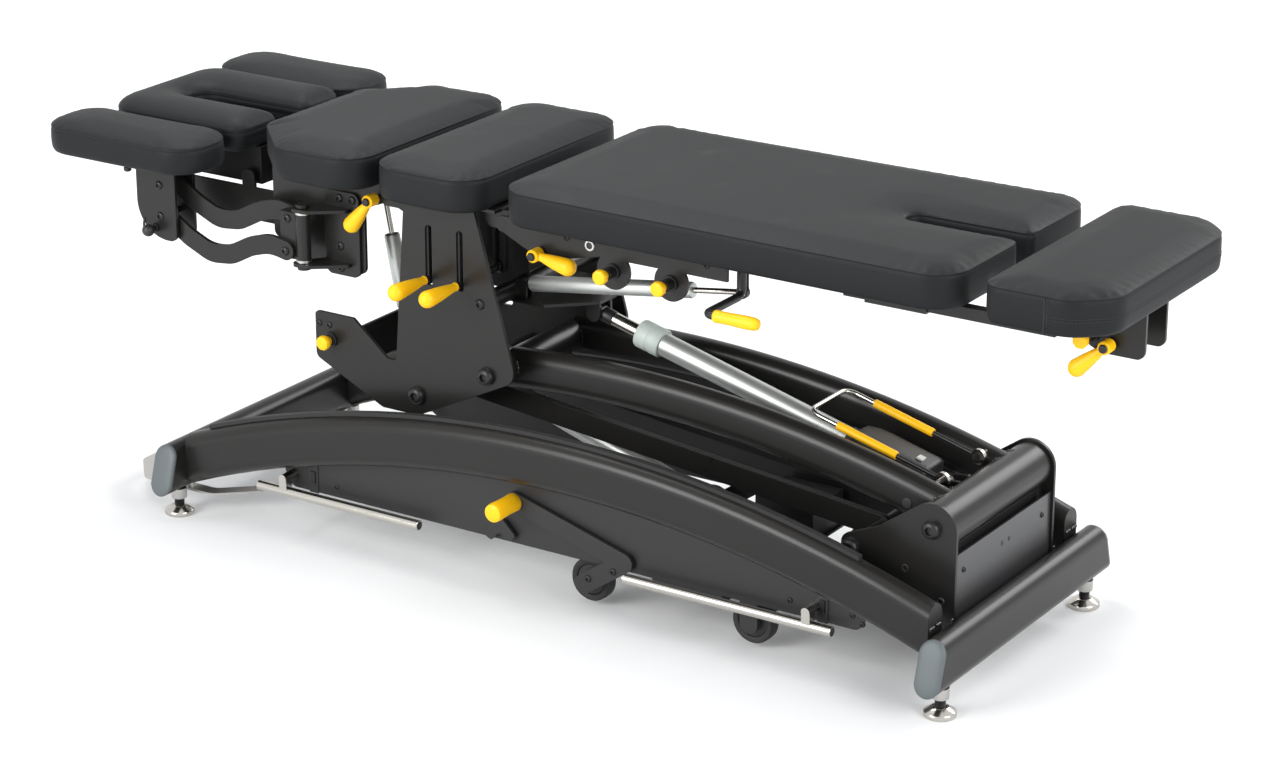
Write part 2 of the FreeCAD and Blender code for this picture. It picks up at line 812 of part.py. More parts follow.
def chassis():
    """Side panels behind the rails, the tray between them and the fixed wheel axle."""

    def upper_edge(x):
        return arc_height(x, d.rail_crest_x, d.rail_crest_z, d.rail_radius, -d.panel_backing)

    hanger = d.hanger_width / 2
    hanger_low = d.wheel_z - hanger
    outline = [
        (d.panel_front_x, upper_edge(d.panel_front_x)),
        (d.panel_front_x + d.panel_slope, d.panel_low_z, d.panel_corner),
        (d.rear_wheel_x - hanger, d.panel_low_z),
        (d.rear_wheel_x - hanger, d.wheel_z),
        Via(d.rear_wheel_x, hanger_low),
        (d.rear_wheel_x + hanger, d.wheel_z),
        (d.rear_wheel_x + hanger, d.panel_low_z),
        (d.panel_rear_x - d.panel_slope, d.panel_low_z, d.panel_corner),
        (d.panel_rear_x, upper_edge(d.panel_rear_x)),
        Via(d.rail_crest_x, upper_edge(d.rail_crest_x)),
    ]
    holes = [
        (d.front_bar_shaft_x, d.bar_shaft_z, d.bar_shaft_radius + d.running_gap),
        (d.rear_bar_shaft_x, d.bar_shaft_z, d.bar_shaft_radius + d.running_gap),
        (d.pedal_pivot_x, d.pedal_pivot_z, d.pedal_shaft_radius + d.running_gap),
        (d.latch_x, d.latch_z, d.small_pin_radius + d.running_gap),
        (d.rear_wheel_x, d.wheel_z, d.axle_radius + d.running_gap),
    ]
    panel = plate("panel", "XZ_Plane", [outline], "sheet_thick", -d.panel_inner_y, holes)
    axle = across("rear_axle", "axle_radius", d.rear_wheel_x, d.wheel_z, "panel_inner_y + sheet_thick")

    span = ("-panel_inner_y", "panel_inner_y")
    run = ("tray_front_x", "tray_rear_x")
    floor = block("tray_floor", run, span, ("tray_z", "tray_z + sheet_thick"))
    near = ("-panel_inner_y", "-panel_inner_y + sheet_thick")
    flange = block("tray_flange", run, near, ("tray_z", "tray_z + tray_flange"))
    root = (d.lift_low_x, d.tray_z + d.rod_eye_radius)
    lugs = clevis("lift_lug", 0, (d.lift_low_x, d.lift_low_z), root, d.rod_eye_radius,
                  "rod_eye_width", "pin_radius", "plate_thick")
    tray = fused("tray", [floor] + pair(flange) + lugs)
    node("side_panels", grouped("side_panels", pair(panel) + [axle, tray]))

    floor_top = "tray_z + sheet_thick"
    box = block("control_box", ("box_front_x", "box_rear_x"), ("box_inner_y", "box_outer_y"),
                (floor_top, floor_top + " + box_height"))
    node("control_box", box)


def link_base():
    """Fixed pivot of the lower links: the arms' pivot shifted by the side of the parallelogram."""
    x = d.link_pivot_x + d.base_pivot_x - d.column_pivot_x
    z = d.link_pivot_z + d.base_pivot_z - d.column_pivot_z
    return x, z


def pivot_brackets():
    """Cheek plates at the foot end that carry the pivots of the lift arms and lower links."""
    x, z = link_base()
    toe = d.bracket_toe_radius
    outline = [
        (d.bracket_rear_x, d.bracket_low_z),
        (d.bracket_rear_x, d.bracket_apex_z, d.bracket_top_radius),
        (d.bracket_flank_x, d.bracket_flank_z, d.bracket_top_radius),
        (d.bracket_toe_x, z + toe, toe),
        (d.bracket_toe_x, z - toe, toe),
        (d.bracket_heel_x, d.bracket_low_z, toe),
    ]
    bore = d.lift_shaft_radius + d.running_gap
    holes = [(d.base_pivot_x, d.base_pivot_z, bore), (x, z, bore)]
    cheek = plate("cheek", "XZ_Plane", [outline], "plate_thick", -d.bracket_y, holes)
    half = d.bracket_y + d.plate_thick
    arm_shaft = pinned("arm_shaft", d.lift_shaft_radius, d.base_pivot_x, d.base_pivot_z, half)
    link_shaft = pinned("link_shaft", d.lift_shaft_radius, x, z, half)
    node("pivot_brackets", grouped("pivot_brackets", pair(cheek) + [arm_shaft, link_shaft]))

    shape = [rectangle(-d.bracket_y, d.bracket_low_z, d.bracket_y, d.cover_top_z)]
    node("rear_cover", plate("rear_cover", "YZ_Plane", shape, "sheet_thick", d.cover_x))


def lift_arms():
    """Two arched arms welded to a pivot tube at each end, with the bail that lies on them."""
    profile = stadium(0, d.arm_radius, d.tube_width / 2, d.arm_height / 2)
    arm = arched("arm", profile, -d.arm_y, d.arm_crest_x, d.arm_crest_z, d.arm_radius)
    bay = block("arm_bay", ("column_pivot_x", "base_pivot_x"), ("-arm_y - tube_width", "-arm_y + tube_width"),
                ("-overrun", "arm_crest_z + arm_height"))
    reach = "arm_tube_half + overrun"
    rear_cut = across("arm_rear_cut", "rear_tube_radius", d.base_pivot_x, d.base_pivot_z, reach)
    front_cut = across("arm_front_cut", "front_tube_radius", d.column_pivot_x, d.column_pivot_z, reach)
    arm_run = cut("arm_run", common("arm_span", arm, bay), [rear_cut, front_cut])
    bore = d.lift_shaft_radius + d.running_gap
    half = d.arm_tube_half
    rear = ring("arm_rear_tube", d.rear_tube_radius, bore, -half, 2 * half,
                crosswise(d.base_pivot_x, d.base_pivot_z))
    front = ring("arm_front_tube", d.front_tube_radius, bore, -half, 2 * half,
                 crosswise(d.column_pivot_x, d.column_pivot_z))
    root = (d.base_pivot_x - d.rear_tube_radius, d.base_pivot_z)
    lugs = clevis("upper_lug", 0, (d.upper_rear_x, d.upper_rear_z), root, d.rod_eye_radius,
                  "rod_eye_width", "pin_radius", "plate_thick")
    boss_start = (d.bail_pivot_x, -d.arm_y, d.bail_pivot_z)
    boss = rod("bail_boss", "bail_boss_radius", "arm_y - bail_y + bail_radius", boss_start, (0, 1, 0))
    node("lift_arms", fused("lift_arms", pair(arm_run) + [rear, front] + lugs + pair(boss)))

    pivot = vector(d.bail_pivot_x, -d.bail_y, d.bail_pivot_z)
    tip = vector(d.bail_front_x, -d.bail_y, d.bail_front_z)
    ahead = (tip - pivot).normalize()
    first = pivot + ahead * (d.bail_boss_radius + d.bail_radius)
    route = [first, tip, vector(tip.x, d.bail_y, tip.z), vector(first.x, d.bail_y, first.z)]
    wire = bent_rod("bail_wire", d.bail_radius, route, d.bail_bend)
    outer = d.bail_boss_radius + 2 * d.bail_radius
    eye = ring("bail_eye", outer, d.bail_boss_radius + d.running_gap, -d.bail_radius, 2 * d.bail_radius,
               crosswise(pivot.x, pivot.z, pivot.y))
    bail = fused("bail_frame", [wire] + pair(eye))
    sleeve_start = pivot + ahead * d.bail_sleeve_start
    sleeve = ring("bail_sleeve", d.bail_sleeve_radius, d.bail_radius + d.running_gap, 0, d.bail_sleeve_length,
                  along(sleeve_start, sleeve_start + ahead))
    node("safety_bail", grouped("safety_bail", [bail] + pair(sleeve)))


def lower_links():
    """Lower side of the parallelogram, loose by a small gap on the column's shaft."""
    base = link_base()
    tip = (d.link_pivot_x, d.link_pivot_z)
    shape = [bar_outline(base, tip, d.lower_link_height / 2)]
    holes = [
        (*base, d.lift_shaft_radius + d.running_gap),
        (*tip, d.lift_shaft_radius + d.link_open_gap),
    ]
    inner = d.lower_link_y - d.lower_link_thick / 2
    link = plate("lower_link", "XZ_Plane", shape, "lower_link_thick", -inner, holes)
    node("lower_links", grouped("lower_links", pair(link)))


def plunger_barrel(name, x, y, z, length):
    """Fixed guide sleeve of a spring plunger, on a face that looks towards -Y."""
    place = along((x, y, z), (x, y - 1, z))
    return ring(name, d.knob_barrel_radius, d.small_pin_radius + d.running_gap, 0, length, place)


def plunger(name, x, y, z, barrel):
    """Pull knob with its pin through a guide sleeve that stands on a face at y."""
    start = barrel + d.side_gap
    pin = d.small_pin_radius
    outline = [
        (0, -d.plate_thick),
        (pin, -d.plate_thick),
        (pin, start),
        (d.knob_neck_radius, start),
        (d.knob_radius, start + d.knob_length / 2),
        (d.knob_radius, start + d.knob_length),
        (0, start + d.knob_length),
    ]
    node(name, turned(name, outline, along((x, y, z), (x, y - 1, z))))


def column():
    """Upright plates between the lift and the pads, with their web, shafts and top carrier."""
    corner = d.column_corner
    outline = [
        (d.column_top_front_x, d.column_top_z),
        (d.column_top_rear_x, d.column_top_z),
        (d.column_foot_x, d.column_pivot_z, 2 * corner),
        (d.link_pivot_x, d.column_low_z, 2 * corner),
        (d.column_heel_x, d.column_low_z, corner),
        (d.column_fork_x, d.column_fork_low_z, corner),
        (d.column_fork_x, d.column_fork_top_z, corner / 2),
        (d.column_prong_x, d.column_fork_top_z, corner / 2),
        (d.column_notch_x, d.column_notch_z, corner / 2),
        (d.column_neck_x, d.column_notch_z, corner / 2),
    ]
    middle = (d.slot_low_z + d.slot_top_z) / 2
    half_slot = (d.slot_top_z - d.slot_low_z) / 2
    slots = [stadium(x, middle, d.slot_width / 2, half_slot) for x in (d.slot_front_x, d.slot_rear_x)]
    bore = d.lift_shaft_radius + d.running_gap
    holes = [
        (d.column_pivot_x, d.column_pivot_z, bore),
        (d.link_pivot_x, d.link_pivot_z, bore),
        (d.column_knob_x, d.column_knob_z, d.small_pin_radius + d.running_gap),
    ]
    side = plate("column_side", "XZ_Plane", [outline] + slots, "plate_thick", -d.column_y, holes)
    face = -d.column_y - d.plate_thick
    length = d.column_barrel_length
    barrel = plunger_barrel("column_barrel", d.column_knob_x, face, d.column_knob_z, length)
    node("column_plates", grouped("column_plates", pair(side) + [barrel]))
    plunger("column_plunger", d.column_knob_x, face, d.column_knob_z, length)

    shape = [rectangle(-d.column_y, d.column_fork_low_z, d.column_y, d.column_fork_top_z - corner)]
    panel = plate("web_panel", "YZ_Plane", shape, "plate_thick", d.web_x)
    spot = (d.chest_gas_x, d.chest_gas_z)
    gas_lugs = clevis("chest_gas_lug", -d.chest_gas_y, spot, (d.web_x + d.gas_eye_radius, d.chest_gas_z),
                      d.gas_eye_radius, "gas_eye_width", "small_pin_radius", "sheet_thick")
    web = fused("web", [panel] + gas_lugs)

    bar = across("cross_bar", "cross_pin_radius", d.cross_pin_x, d.cross_pin_z, "column_y")
    low = d.cross_pin_z - d.cross_pin_radius
    top = low + d.plate_thick
    half = d.arm_plate_half
    narrow = d.rod_eye_width
    waist = d.column_foot_x
    shape = [
        (d.cross_pin_x, -half),
        (waist, -half),
        (d.arm_plate_tip_x, -narrow),
        (d.arm_plate_tip_x, narrow),
        (waist, half),
        (d.cross_pin_x, half),
    ]
    tongue = plate("actuator_tongue", "XY_Plane", [shape], "plate_thick", low)
    tip = d.tip_eye_radius
    tip_lugs = clevis("tip_lug", 0, (d.upper_tip_x, d.upper_tip_z), (d.upper_tip_x, top - tip), tip,
                      "rod_eye_width", "small_pin_radius", "plate_thick")
    spot = (d.leg_gas_x, d.leg_gas_z)
    leg_lugs = clevis("leg_gas_lug", -d.leg_gas_y, spot, (d.leg_gas_x, low + d.gas_eye_radius),
                      d.gas_eye_radius, "gas_eye_width", "small_pin_radius", "sheet_thick")
    bracket = fused("actuator_bracket", [bar, tongue] + tip_lugs + leg_lugs)
    cheek = d.column_y + d.plate_thick
    arm_shaft = pinned("column_arm_shaft", d.lift_shaft_radius, d.column_pivot_x, d.column_pivot_z, cheek)
    link_shaft = pinned("column_link_shaft", d.lift_shaft_radius, d.link_pivot_x, d.link_pivot_z, cheek)
    node("column_web", grouped("column_web", [web, bracket, arm_shaft, link_shaft]))

    ear = d.hinge_ear_radius
    front = d.chest_hinge_x + ear
    rear = d.leg_hinge_x - ear
    shape = [rectangle(front, -d.carrier_half, rear, d.carrier_half)]
    pieces = [plate("carrier_top", "XY_Plane", shape, "plate_thick", d.column_top_z)]
    for name, hinge, root in (("front", d.chest_hinge_x, front + ear), ("rear", d.leg_hinge_x, rear - ear)):
        shape = [bar_outline((hinge, d.hinge_z), (root, d.hinge_z), ear)]
        pieces += pair(plate(name + "_ear", "XZ_Plane", shape, "plate_thick", -d.hinge_ear_y))
    reach = "hinge_ear_y + plate_thick"
    pieces.append(across("chest_hinge_rod", "pin_radius", d.chest_hinge_x, d.hinge_z, reach))
    reach = "leg_plate_y + plate_thick"
    pieces.append(across("leg_hinge_rod", "pin_radius", d.leg_hinge_x, d.hinge_z, reach))
    lug = d.lever_lug_thick
    gap = d.gas_eye_width / 2 + d.side_gap
    root = (-d.lever_shaft_y, d.column_top_z)
    shape = [bar_outline((-d.lever_shaft_y, d.lever_shaft_z), root, d.plate_thick)]
    for name, x in (("a", d.slot_front_x), ("b", d.slot_rear_x)):
        pieces.append(plate("lever_lug_front_" + name, "YZ_Plane", shape, "lever_lug_thick", x - gap - lug))
        pieces.append(plate("lever_lug_rear_" + name, "YZ_Plane", shape, "lever_lug_thick", x + gap))
        start = (x - gap - lug, -d.lever_shaft_y, d.lever_shaft_z)
        length = "gas_eye_width + 2 * side_gap + 2 * lever_lug_thick"
        pieces.append(rod("lever_pin_" + name, "small_pin_radius", length, start, (1, 0, 0)))
    node("top_carrier", fused("top_carrier", pieces))


def lock_lever(name, x):
    """Hand lever that rises through a slot of the column, with a drop-shaped grip."""
    pivot = vector(x, -d.lever_shaft_y, d.lever_shaft_z)
    place = along(pivot, pivot + vector(0, -1, 0))
    width = d.gas_eye_width
    bore = d.small_pin_radius + d.running_gap
    eye_place = along(pivot, pivot + vector(1, 0, 0))
    eye = ring(name + "_eye", d.lever_eye_radius, bore, -width / 2, width, eye_place)
    start = d.lever_eye_radius - d.guide_wall
    stop = d.lever_grip_start
    radius = d.lever_rod_radius
    stem = turned(name + "_stem", [(0, start), (radius, start), (radius, stop), (0, stop)], place)
    outline = grip_outline(d.grip_neck_radius, d.grip_fat_radius, d.grip_length, stop)
    grip = turned(name + "_grip", outline, place)
    node(name, grouped(name, [fused(name + "_lever", [eye, stem]), grip]))


def drop_handle(name, x, face, z, offset, direction):
    """Short drop-shaped release handle on a pin along Y, held off a face by an offset."""
    width = d.knob_barrel_length
    bore = d.small_pin_radius + d.running_gap
    outer = d.lever_eye_radius
    start_y = face - offset - d.side_gap
    eye = ring(name + "_eye", outer, bore, 0, width, along((x, start_y, z), (x, start_y - 1, z)))
    middle = vector(x, start_y - width / 2, z)
    place = along(middle, middle + direction)
    start = outer - d.guide_wall
    outline = grip_outline(d.grip_neck_radius, d.grip_fat_radius, d.drop_length, start)
    drop = turned(name + "_drop", outline, place)
    node(name, fused(name, [eye, drop]))


def down_and(side, tilt):
    """Direction along X towards a side, dipping by a tilt in degrees."""
    angle = math.radians(tilt)
    return vector(side * math.cos(angle), 0, -math.sin(angle))


def handle_pin(name, x, face, z, offset):
    """Pin of a drop handle, as long as the handle's eye and its offset."""
    length = f"{offset} + knob_barrel_length + 2 * side_gap"
    return rod(name, "small_pin_radius", length, (x, face, z), (0, -1, 0))


def gas_spring(name, y, start, end, tube_length):
    """Gas spring between two pivots: a closed tube with an eye, and the rod that slides in it."""
    first = vector(start[0], y, start[1])
    last = vector(end[0], y, end[1])
    place = along(first, last)
    total = (last - first).Length
    overlap = d.gas_eye_radius - d.guide_wall
    width = d.gas_eye_width
    thin = d.gas_rod_radius
    bore = thin + d.running_gap
    outline = [
        (0, overlap),
        (thin, overlap),
        (thin, d.gas_neck),
        (d.gas_radius, d.gas_neck),
        (d.gas_radius, tube_length),
        (bore, tube_length),
        (bore, d.gas_bore_stop),
        (0, d.gas_bore_stop),
    ]
    tube = turned(name + "_barrel", outline, place)
    eye = ring(name + "_eye", d.gas_eye_radius, d.small_pin_radius + d.running_gap, -width / 2, width,
               crosswise(start[0], start[1], y))
    node(name + "_tube", fused(name + "_tube", [tube, eye]))
    inside = tube_length - d.gas_insert
    outline = [(0, inside), (thin, inside), (thin, total - overlap), (0, total - overlap)]
    piston = turned(name + "_piston", outline, place)
    tip = ring(name + "_tip", d.gas_eye_radius, d.small_pin_radius + d.open_pivot_gap, -width / 2, width,
               crosswise(end[0], end[1], y))
    node(name + "_rod", fused(name + "_rod", [piston, tip]))


def actuator_rod(name, place, total, tube_end, tip_spot, tip_radius, tip_bore):
    """Sliding rod of an actuator with the eye at its outer end."""
    inside = tube_end - d.rod_insert
    radius = d.actuator_rod_radius
    stop = total - tip_radius + d.guide_wall
    bar = turned(name + "_bar", [(0, inside), (radius, inside), (radius, stop), (0, stop)], place)
    width = d.rod_eye_width
    eye = ring(name + "_eye", tip_radius, tip_bore, -width / 2, width, crosswise(*tip_spot))
    node(name, fused(name, [bar, eye]))


def actuators():
    """Two linear actuators: one from the tray to the column, one from the arms to the column."""
    width = d.rod_eye_width
    neck = d.rod_eye_radius - d.guide_wall
    bore = d.actuator_rod_radius + d.running_gap
    eye_bore = d.pin_radius + d.running_gap

    foot = (d.lift_low_x, d.lift_low_z)
    tip = (d.link_pivot_x, d.link_pivot_z)
    first = vector(foot[0], 0, foot[1])
    last = vector(tip[0], 0, tip[1])
    place = along(first, last)
    can_stop = d.lift_foot_length + d.motor_can_length
    tube_end = d.lift_foot_length + d.lift_tube_length
    outline = [
        (0, neck),
        (d.actuator_rod_radius, neck),
        (d.actuator_rod_radius, d.lift_foot_length),
        (d.motor_can_radius, d.lift_foot_length),
        (d.motor_can_radius, can_stop),
        (d.actuator_radius, can_stop),
        (d.actuator_radius, tube_end),
        (bore, tube_end),
        (bore, d.bore_stop),
        (0, d.bore_stop),
    ]
    eye = ring("lower_eye", d.rod_eye_radius, eye_bore, -width / 2, width, crosswise(*foot))
    node("lower_actuator", fused("lower_actuator", [turned("lower_barrel", outline, place), eye]))
    actuator_rod("lower_actuator_rod", place, (last - first).Length, tube_end, tip, d.lower_tip_radius,
                 d.lift_shaft_radius + d.lower_open_gap)

    foot = (d.upper_rear_x, d.upper_rear_z)
    tip = (d.upper_tip_x, d.upper_tip_z)
    first = vector(foot[0], 0, foot[1])
    last = vector(tip[0], 0, tip[1])
    place = along(first, last)
    motor_stop = d.motor_gap + d.motor_length
    tube_end = motor_stop + d.upper_tube_length
    collar = tube_end - d.collar_length
    stop = motor_stop + d.guide_wall
    outline = [
        (0, neck),
        (d.actuator_rod_radius, neck),
        (d.actuator_rod_radius, motor_stop),
        (d.actuator_radius, motor_stop),
        (d.actuator_radius, collar),
        (d.collar_radius, collar),
        (d.collar_radius, tube_end),
        (bore, tube_end),
        (bore, stop),
        (0, stop),
    ]
    eye = ring("upper_eye", d.rod_eye_radius, eye_bore, -width / 2, width, crosswise(*foot))
    housing = doc.addObject("Part::Box", "motor_housing")
    housing.setExpression("Length", bound("motor_height"))
    housing.setExpression("Width", bound("motor_width"))
    housing.setExpression("Height", bound("motor_length"))
    offset = vector(-d.motor_height / 2, -d.motor_width / 2, d.motor_gap)
    housing.Placement = place.multiply(FreeCAD.Placement(offset, FreeCAD.Rotation()))
    barrel = turned("upper_barrel", outline, place)
    node("upper_actuator", fused("upper_actuator", [barrel, housing, eye]))
    actuator_rod("upper_actuator_rod", place, (last - first).Length, tube_end, tip, d.tip_eye_radius,
                 d.small_pin_radius + d.upper_open_gap)


def chest_section():
    """Hinged chest frame with the beams that carry the head section."""
    eye = d.column_top_z - d.hinge_z
    neck_z = d.hinge_z - 2 * eye
    corner = d.column_corner
    outline = [
        (d.chest_frame_front_x, d.column_top_z),
        (d.chest_hinge_x, d.column_top_z),
        Via(d.chest_hinge_x + eye, d.hinge_z),
        (d.chest_hinge_x, d.hinge_z - eye),
        (d.chest_frame_rear_x, neck_z, corner),
        (d.chest_frame_rear_x, d.chest_frame_low_z, corner),
        (d.post_x, d.chest_frame_low_z, corner),
        (d.chest_frame_front_x, d.beam_low_z, corner),
    ]
    holes = [(d.chest_hinge_x, d.hinge_z, d.pin_radius + d.running_gap)]
    inner = d.chest_frame_half - d.plate_thick
    side = plate("chest_side", "XZ_Plane", [outline], "plate_thick", -inner, holes)
    rear = d.chest_hinge_x - eye
    shape = [rectangle(d.chest_frame_front_x, -d.chest_frame_half, rear, d.chest_frame_half)]
    top = plate("chest_top", "XY_Plane", shape, "plate_thick", d.column_top_z)
    shape = [rectangle(-inner, d.beam_low_z, inner, d.column_top_z)]
    front = plate("chest_front", "YZ_Plane", shape, "plate_thick", d.chest_frame_front_x)
    spot = (d.chest_gas_end_x, d.chest_gas_end_z)
    lugs = clevis("chest_tip_lug", -d.chest_gas_y, spot, (d.chest_gas_end_x, d.column_top_z),
                  d.gas_eye_radius / 2, "gas_eye_width", "small_pin_radius", "sheet_thick")
    outline = [
        (d.chest_frame_front_x, d.beam_low_z),
        (d.chest_frame_front_x, d.beam_top_z),
        (d.beam_front_x, d.beam_top_z, corner),
        (d.beam_front_x, d.beam_low_z + corner, corner),
        (d.head_hinge_x, d.beam_low_z, corner),
    ]
    beam = plate("head_beam", "XZ_Plane", [outline], "plate_thick", -d.beam_y)
    root = (d.head_hinge_x, d.beam_low_z + 2 * corner)
    shape = [bar_outline((d.head_hinge_x, d.head_hinge_z), root, corner)]
    ear = plate("head_ear", "XZ_Plane", shape, "plate_thick", -d.beam_y)
    hinge = across("head_hinge_rod", "pin_radius", d.head_hinge_x, d.head_hinge_z, "beam_y + plate_thick")
    pin = handle_pin("chest_handle_pin", d.chest_handle_x, -d.chest_frame_half, d.chest_handle_z,
                     "2 * plate_thick")
    pieces = pair(side) + [top, front] + lugs + pair(beam) + pair(ear) + [hinge, pin]
    node("chest_frame", fused("chest_frame", pieces))
    drop_handle("chest_handle", d.chest_handle_x, -d.chest_frame_half, d.chest_handle_z, 2 * d.plate_thick,
                down_and(-1, d.chest_handle_tilt))
    gas_spring("chest_gas", -d.chest_gas_y, (d.chest_gas_x, d.chest_gas_z), spot, d.chest_gas_tube)

    shell = block("head_shell", ("head_box_front_x", "head_box_rear_x"), ("-head_box_half", "head_box_half"),
                  ("head_box_low_z", "column_top_z + plate_thick"))
    hollow = block("head_hollow", ("head_box_front_x + sheet_thick", "head_box_rear_x - sheet_thick"),
                   ("-head_box_half + sheet_thick", "head_box_half - sheet_thick"),
                   ("head_box_low_z - overrun", "column_top_z"))
    bore = across("head_bore", "pin_radius + running_gap", d.head_hinge_x, d.head_hinge_z, "beam_y + overrun")
    node("head_box", cut("head_box", shell, [hollow, bore]))


def armrest():
    """Armrest of the -Y side: mount, swivel post, two links, carrier and their twins."""
    shape = [rectangle(d.mount_front_x, d.mount_low_z, d.mount_rear_x, d.mount_top_z, d.column_corner)]
    backing = plate("mount_plate", "XZ_Plane", shape, "plate_thick", -d.chest_frame_half)
    reach = d.lug_reach
    shape = [
        (d.mount_rear_x - reach, -d.chest_frame_half),
        (d.mount_rear_x - reach, -d.chest_frame_half - reach, reach / 2),
        (d.post_x + reach, -d.post_y - reach, d.lug_corner),
        (d.post_x - reach, -d.post_y - reach, d.lug_corner),
        (d.post_x - reach, -d.post_y, reach / 2),
        (d.mount_front_x, -d.chest_frame_half),
    ]
    holes = [(d.post_x, -d.post_y, d.post_pin_radius + d.running_gap)]
    low = d.post_low_z - d.side_gap - d.plate_thick
    high = d.post_top_z + d.side_gap
    lug_low = plate("mount_lug_low", "XY_Plane", [shape], "plate_thick", low, holes)
    lug_high = plate("mount_lug_high", "XY_Plane", [shape], "plate_thick", high, holes)
    mount = fused("armrest_mount", [backing, lug_low, lug_high])
    node("armrest_mounts", grouped("armrest_mounts", pair(mount)))

    bottom = low - d.side_gap
    top = high + d.plate_thick + d.side_gap
    pin = d.post_pin_radius
    head = d.post_pin_head
    outline = [
        (0, bottom - d.plate_thick),
        (head, bottom - d.plate_thick),
        (head, bottom),
        (pin, bottom),
        (pin, d.post_low_z),
        (d.post_radius, d.post_low_z),
        (d.post_radius, d.post_top_z),
        (pin, d.post_top_z),
        (pin, top),
        (head, top),
        (head, top + d.plate_thick),
        (0, top + d.plate_thick),
    ]
    place = FreeCAD.Placement(vector(d.post_x, -d.post_y, 0), FreeCAD.Rotation())
    post = turned("post_tube", outline, place)
    margin = "post_low_z + sheet_thick", "post_top_z - sheet_thick"
    tab = block("post_tab", ("post_block_x", "post_x"),
                ("-post_y - post_block_half", "-post_y + post_block_half"), margin)
    outer = d.post_y + d.post_block_half
    upper_z = d.arm_link_low_z + d.arm_link_step
    length = "arm_link_thick + 2 * side_gap"
    spot = (d.arm_link_x, -outer, d.arm_link_low_z)
    low_pin = rod("post_low_pin", "arm_pin_radius", length, spot, (0, -1, 0))
    inner = d.post_y - d.post_block_half
    spot = (d.arm_link_x, -inner, upper_z)
    high_pin = rod("post_high_pin", "arm_pin_radius", length, spot, (0, 1, 0))
    entered = {"armrest_post": fused("armrest_post_near", [post, tab, low_pin, high_pin])}

    def link(name, base_z, y):
        rise = d.arm_link_rise
        route = [
            (d.arm_link_x - d.arm_link_reach * share, base_z + rise * share - d.arm_link_sag * dip)
            for share, dip in LINK_SHARES
        ]
        shape = [ribbon(route, d.arm_link_half, d.arm_link_bend)]
        bore = d.arm_pin_radius + d.running_gap
        return plate(name, "XZ_Plane", shape, "arm_link_thick", y, [(*route[0], bore), (*route[-1], bore)])

    entered["armrest_lower_link"] = link("armrest_lower_link_near", d.arm_link_low_z, -outer - d.side_gap)
    upper_y = -inner + d.side_gap + d.arm_link_thick
    entered["armrest_upper_link"] = link("armrest_upper_link_near", upper_z, upper_y)

    seat = d.armrest_base_z - d.seat_gap - d.plate_thick
    corner = d.column_corner
    outline = [
        (d.carrier_rear_x, seat),
        (d.carrier_front_x, seat),
        (d.carrier_front_x, d.carrier_low_z, d.carrier_round),
        (d.carrier_rear_x, d.carrier_low_z, corner),
    ]
    cheek_y = -d.armrest_plate_outer_y + d.plate_thick
    pieces = [plate("carrier_outer", "XZ_Plane", [outline], "plate_thick", cheek_y)]
    pieces.append(plate("carrier_inner", "XZ_Plane", [outline], "plate_thick", -d.armrest_plate_inner_y))
    shape = [rectangle(d.carrier_flange_front_x, -d.armrest_plate_outer_y, d.carrier_rear_x,
                       -d.armrest_plate_inner_y)]
    pieces.append(plate("carrier_flange", "XY_Plane", shape, "plate_thick", seat))
    end_x = d.arm_link_x - d.arm_link_reach
    end_z = d.arm_link_low_z + d.arm_link_rise
    length = "armrest_plate_outer_y - armrest_plate_inner_y"
    for name, z in (("low", end_z), ("high", end_z + d.arm_link_step)):
        start = (end_x, -d.armrest_plate_outer_y, z)
        pieces.append(rod("carrier_pin_" + name, "arm_pin_radius", length, start, (0, 1, 0)))
    knob_x = d.carrier_front_x + 2 * d.knob_stand
    knob_z = d.carrier_low_z + d.knob_stand
    stud_start = (knob_x, -d.armrest_plate_outer_y, knob_z)
    pieces.append(rod("carrier_stud", "small_pin_radius", "knob_stand", stud_start, (0, -1, 0)))
    ball = doc.addObject("Part::Sphere", "carrier_ball")
    ball.setExpression("Radius", bound("knob_ball_radius"))
    ball_y = -d.armrest_plate_outer_y - d.knob_stand
    ball.Placement = FreeCAD.Placement(vector(knob_x, ball_y, knob_z), FreeCAD.Rotation())
    entered["armrest_carrier"] = fused("armrest_carrier_near", pieces + [ball])

    shape = rectangle(d.armrest_front_x, -d.armrest_outer_y, d.armrest_rear_x, -d.armrest_inner_y, d.pad_corner)
    entered["armrest_pad"] = cushion("armrest_pad_near", shape, d.armrest_base_z, d.armrest_thick)
    for name, part in entered.items():
        node(name + "_near", part)
        node(name + "_far", mirrored(part))


LINK_SHARES = (
    (0, 0),
    (0.13, -0.1),
    (0.29, 0.25),
    (0.45, 0.82),
    (0.62, 1),
    (0.8, 0.62),
    (1, 0),
)


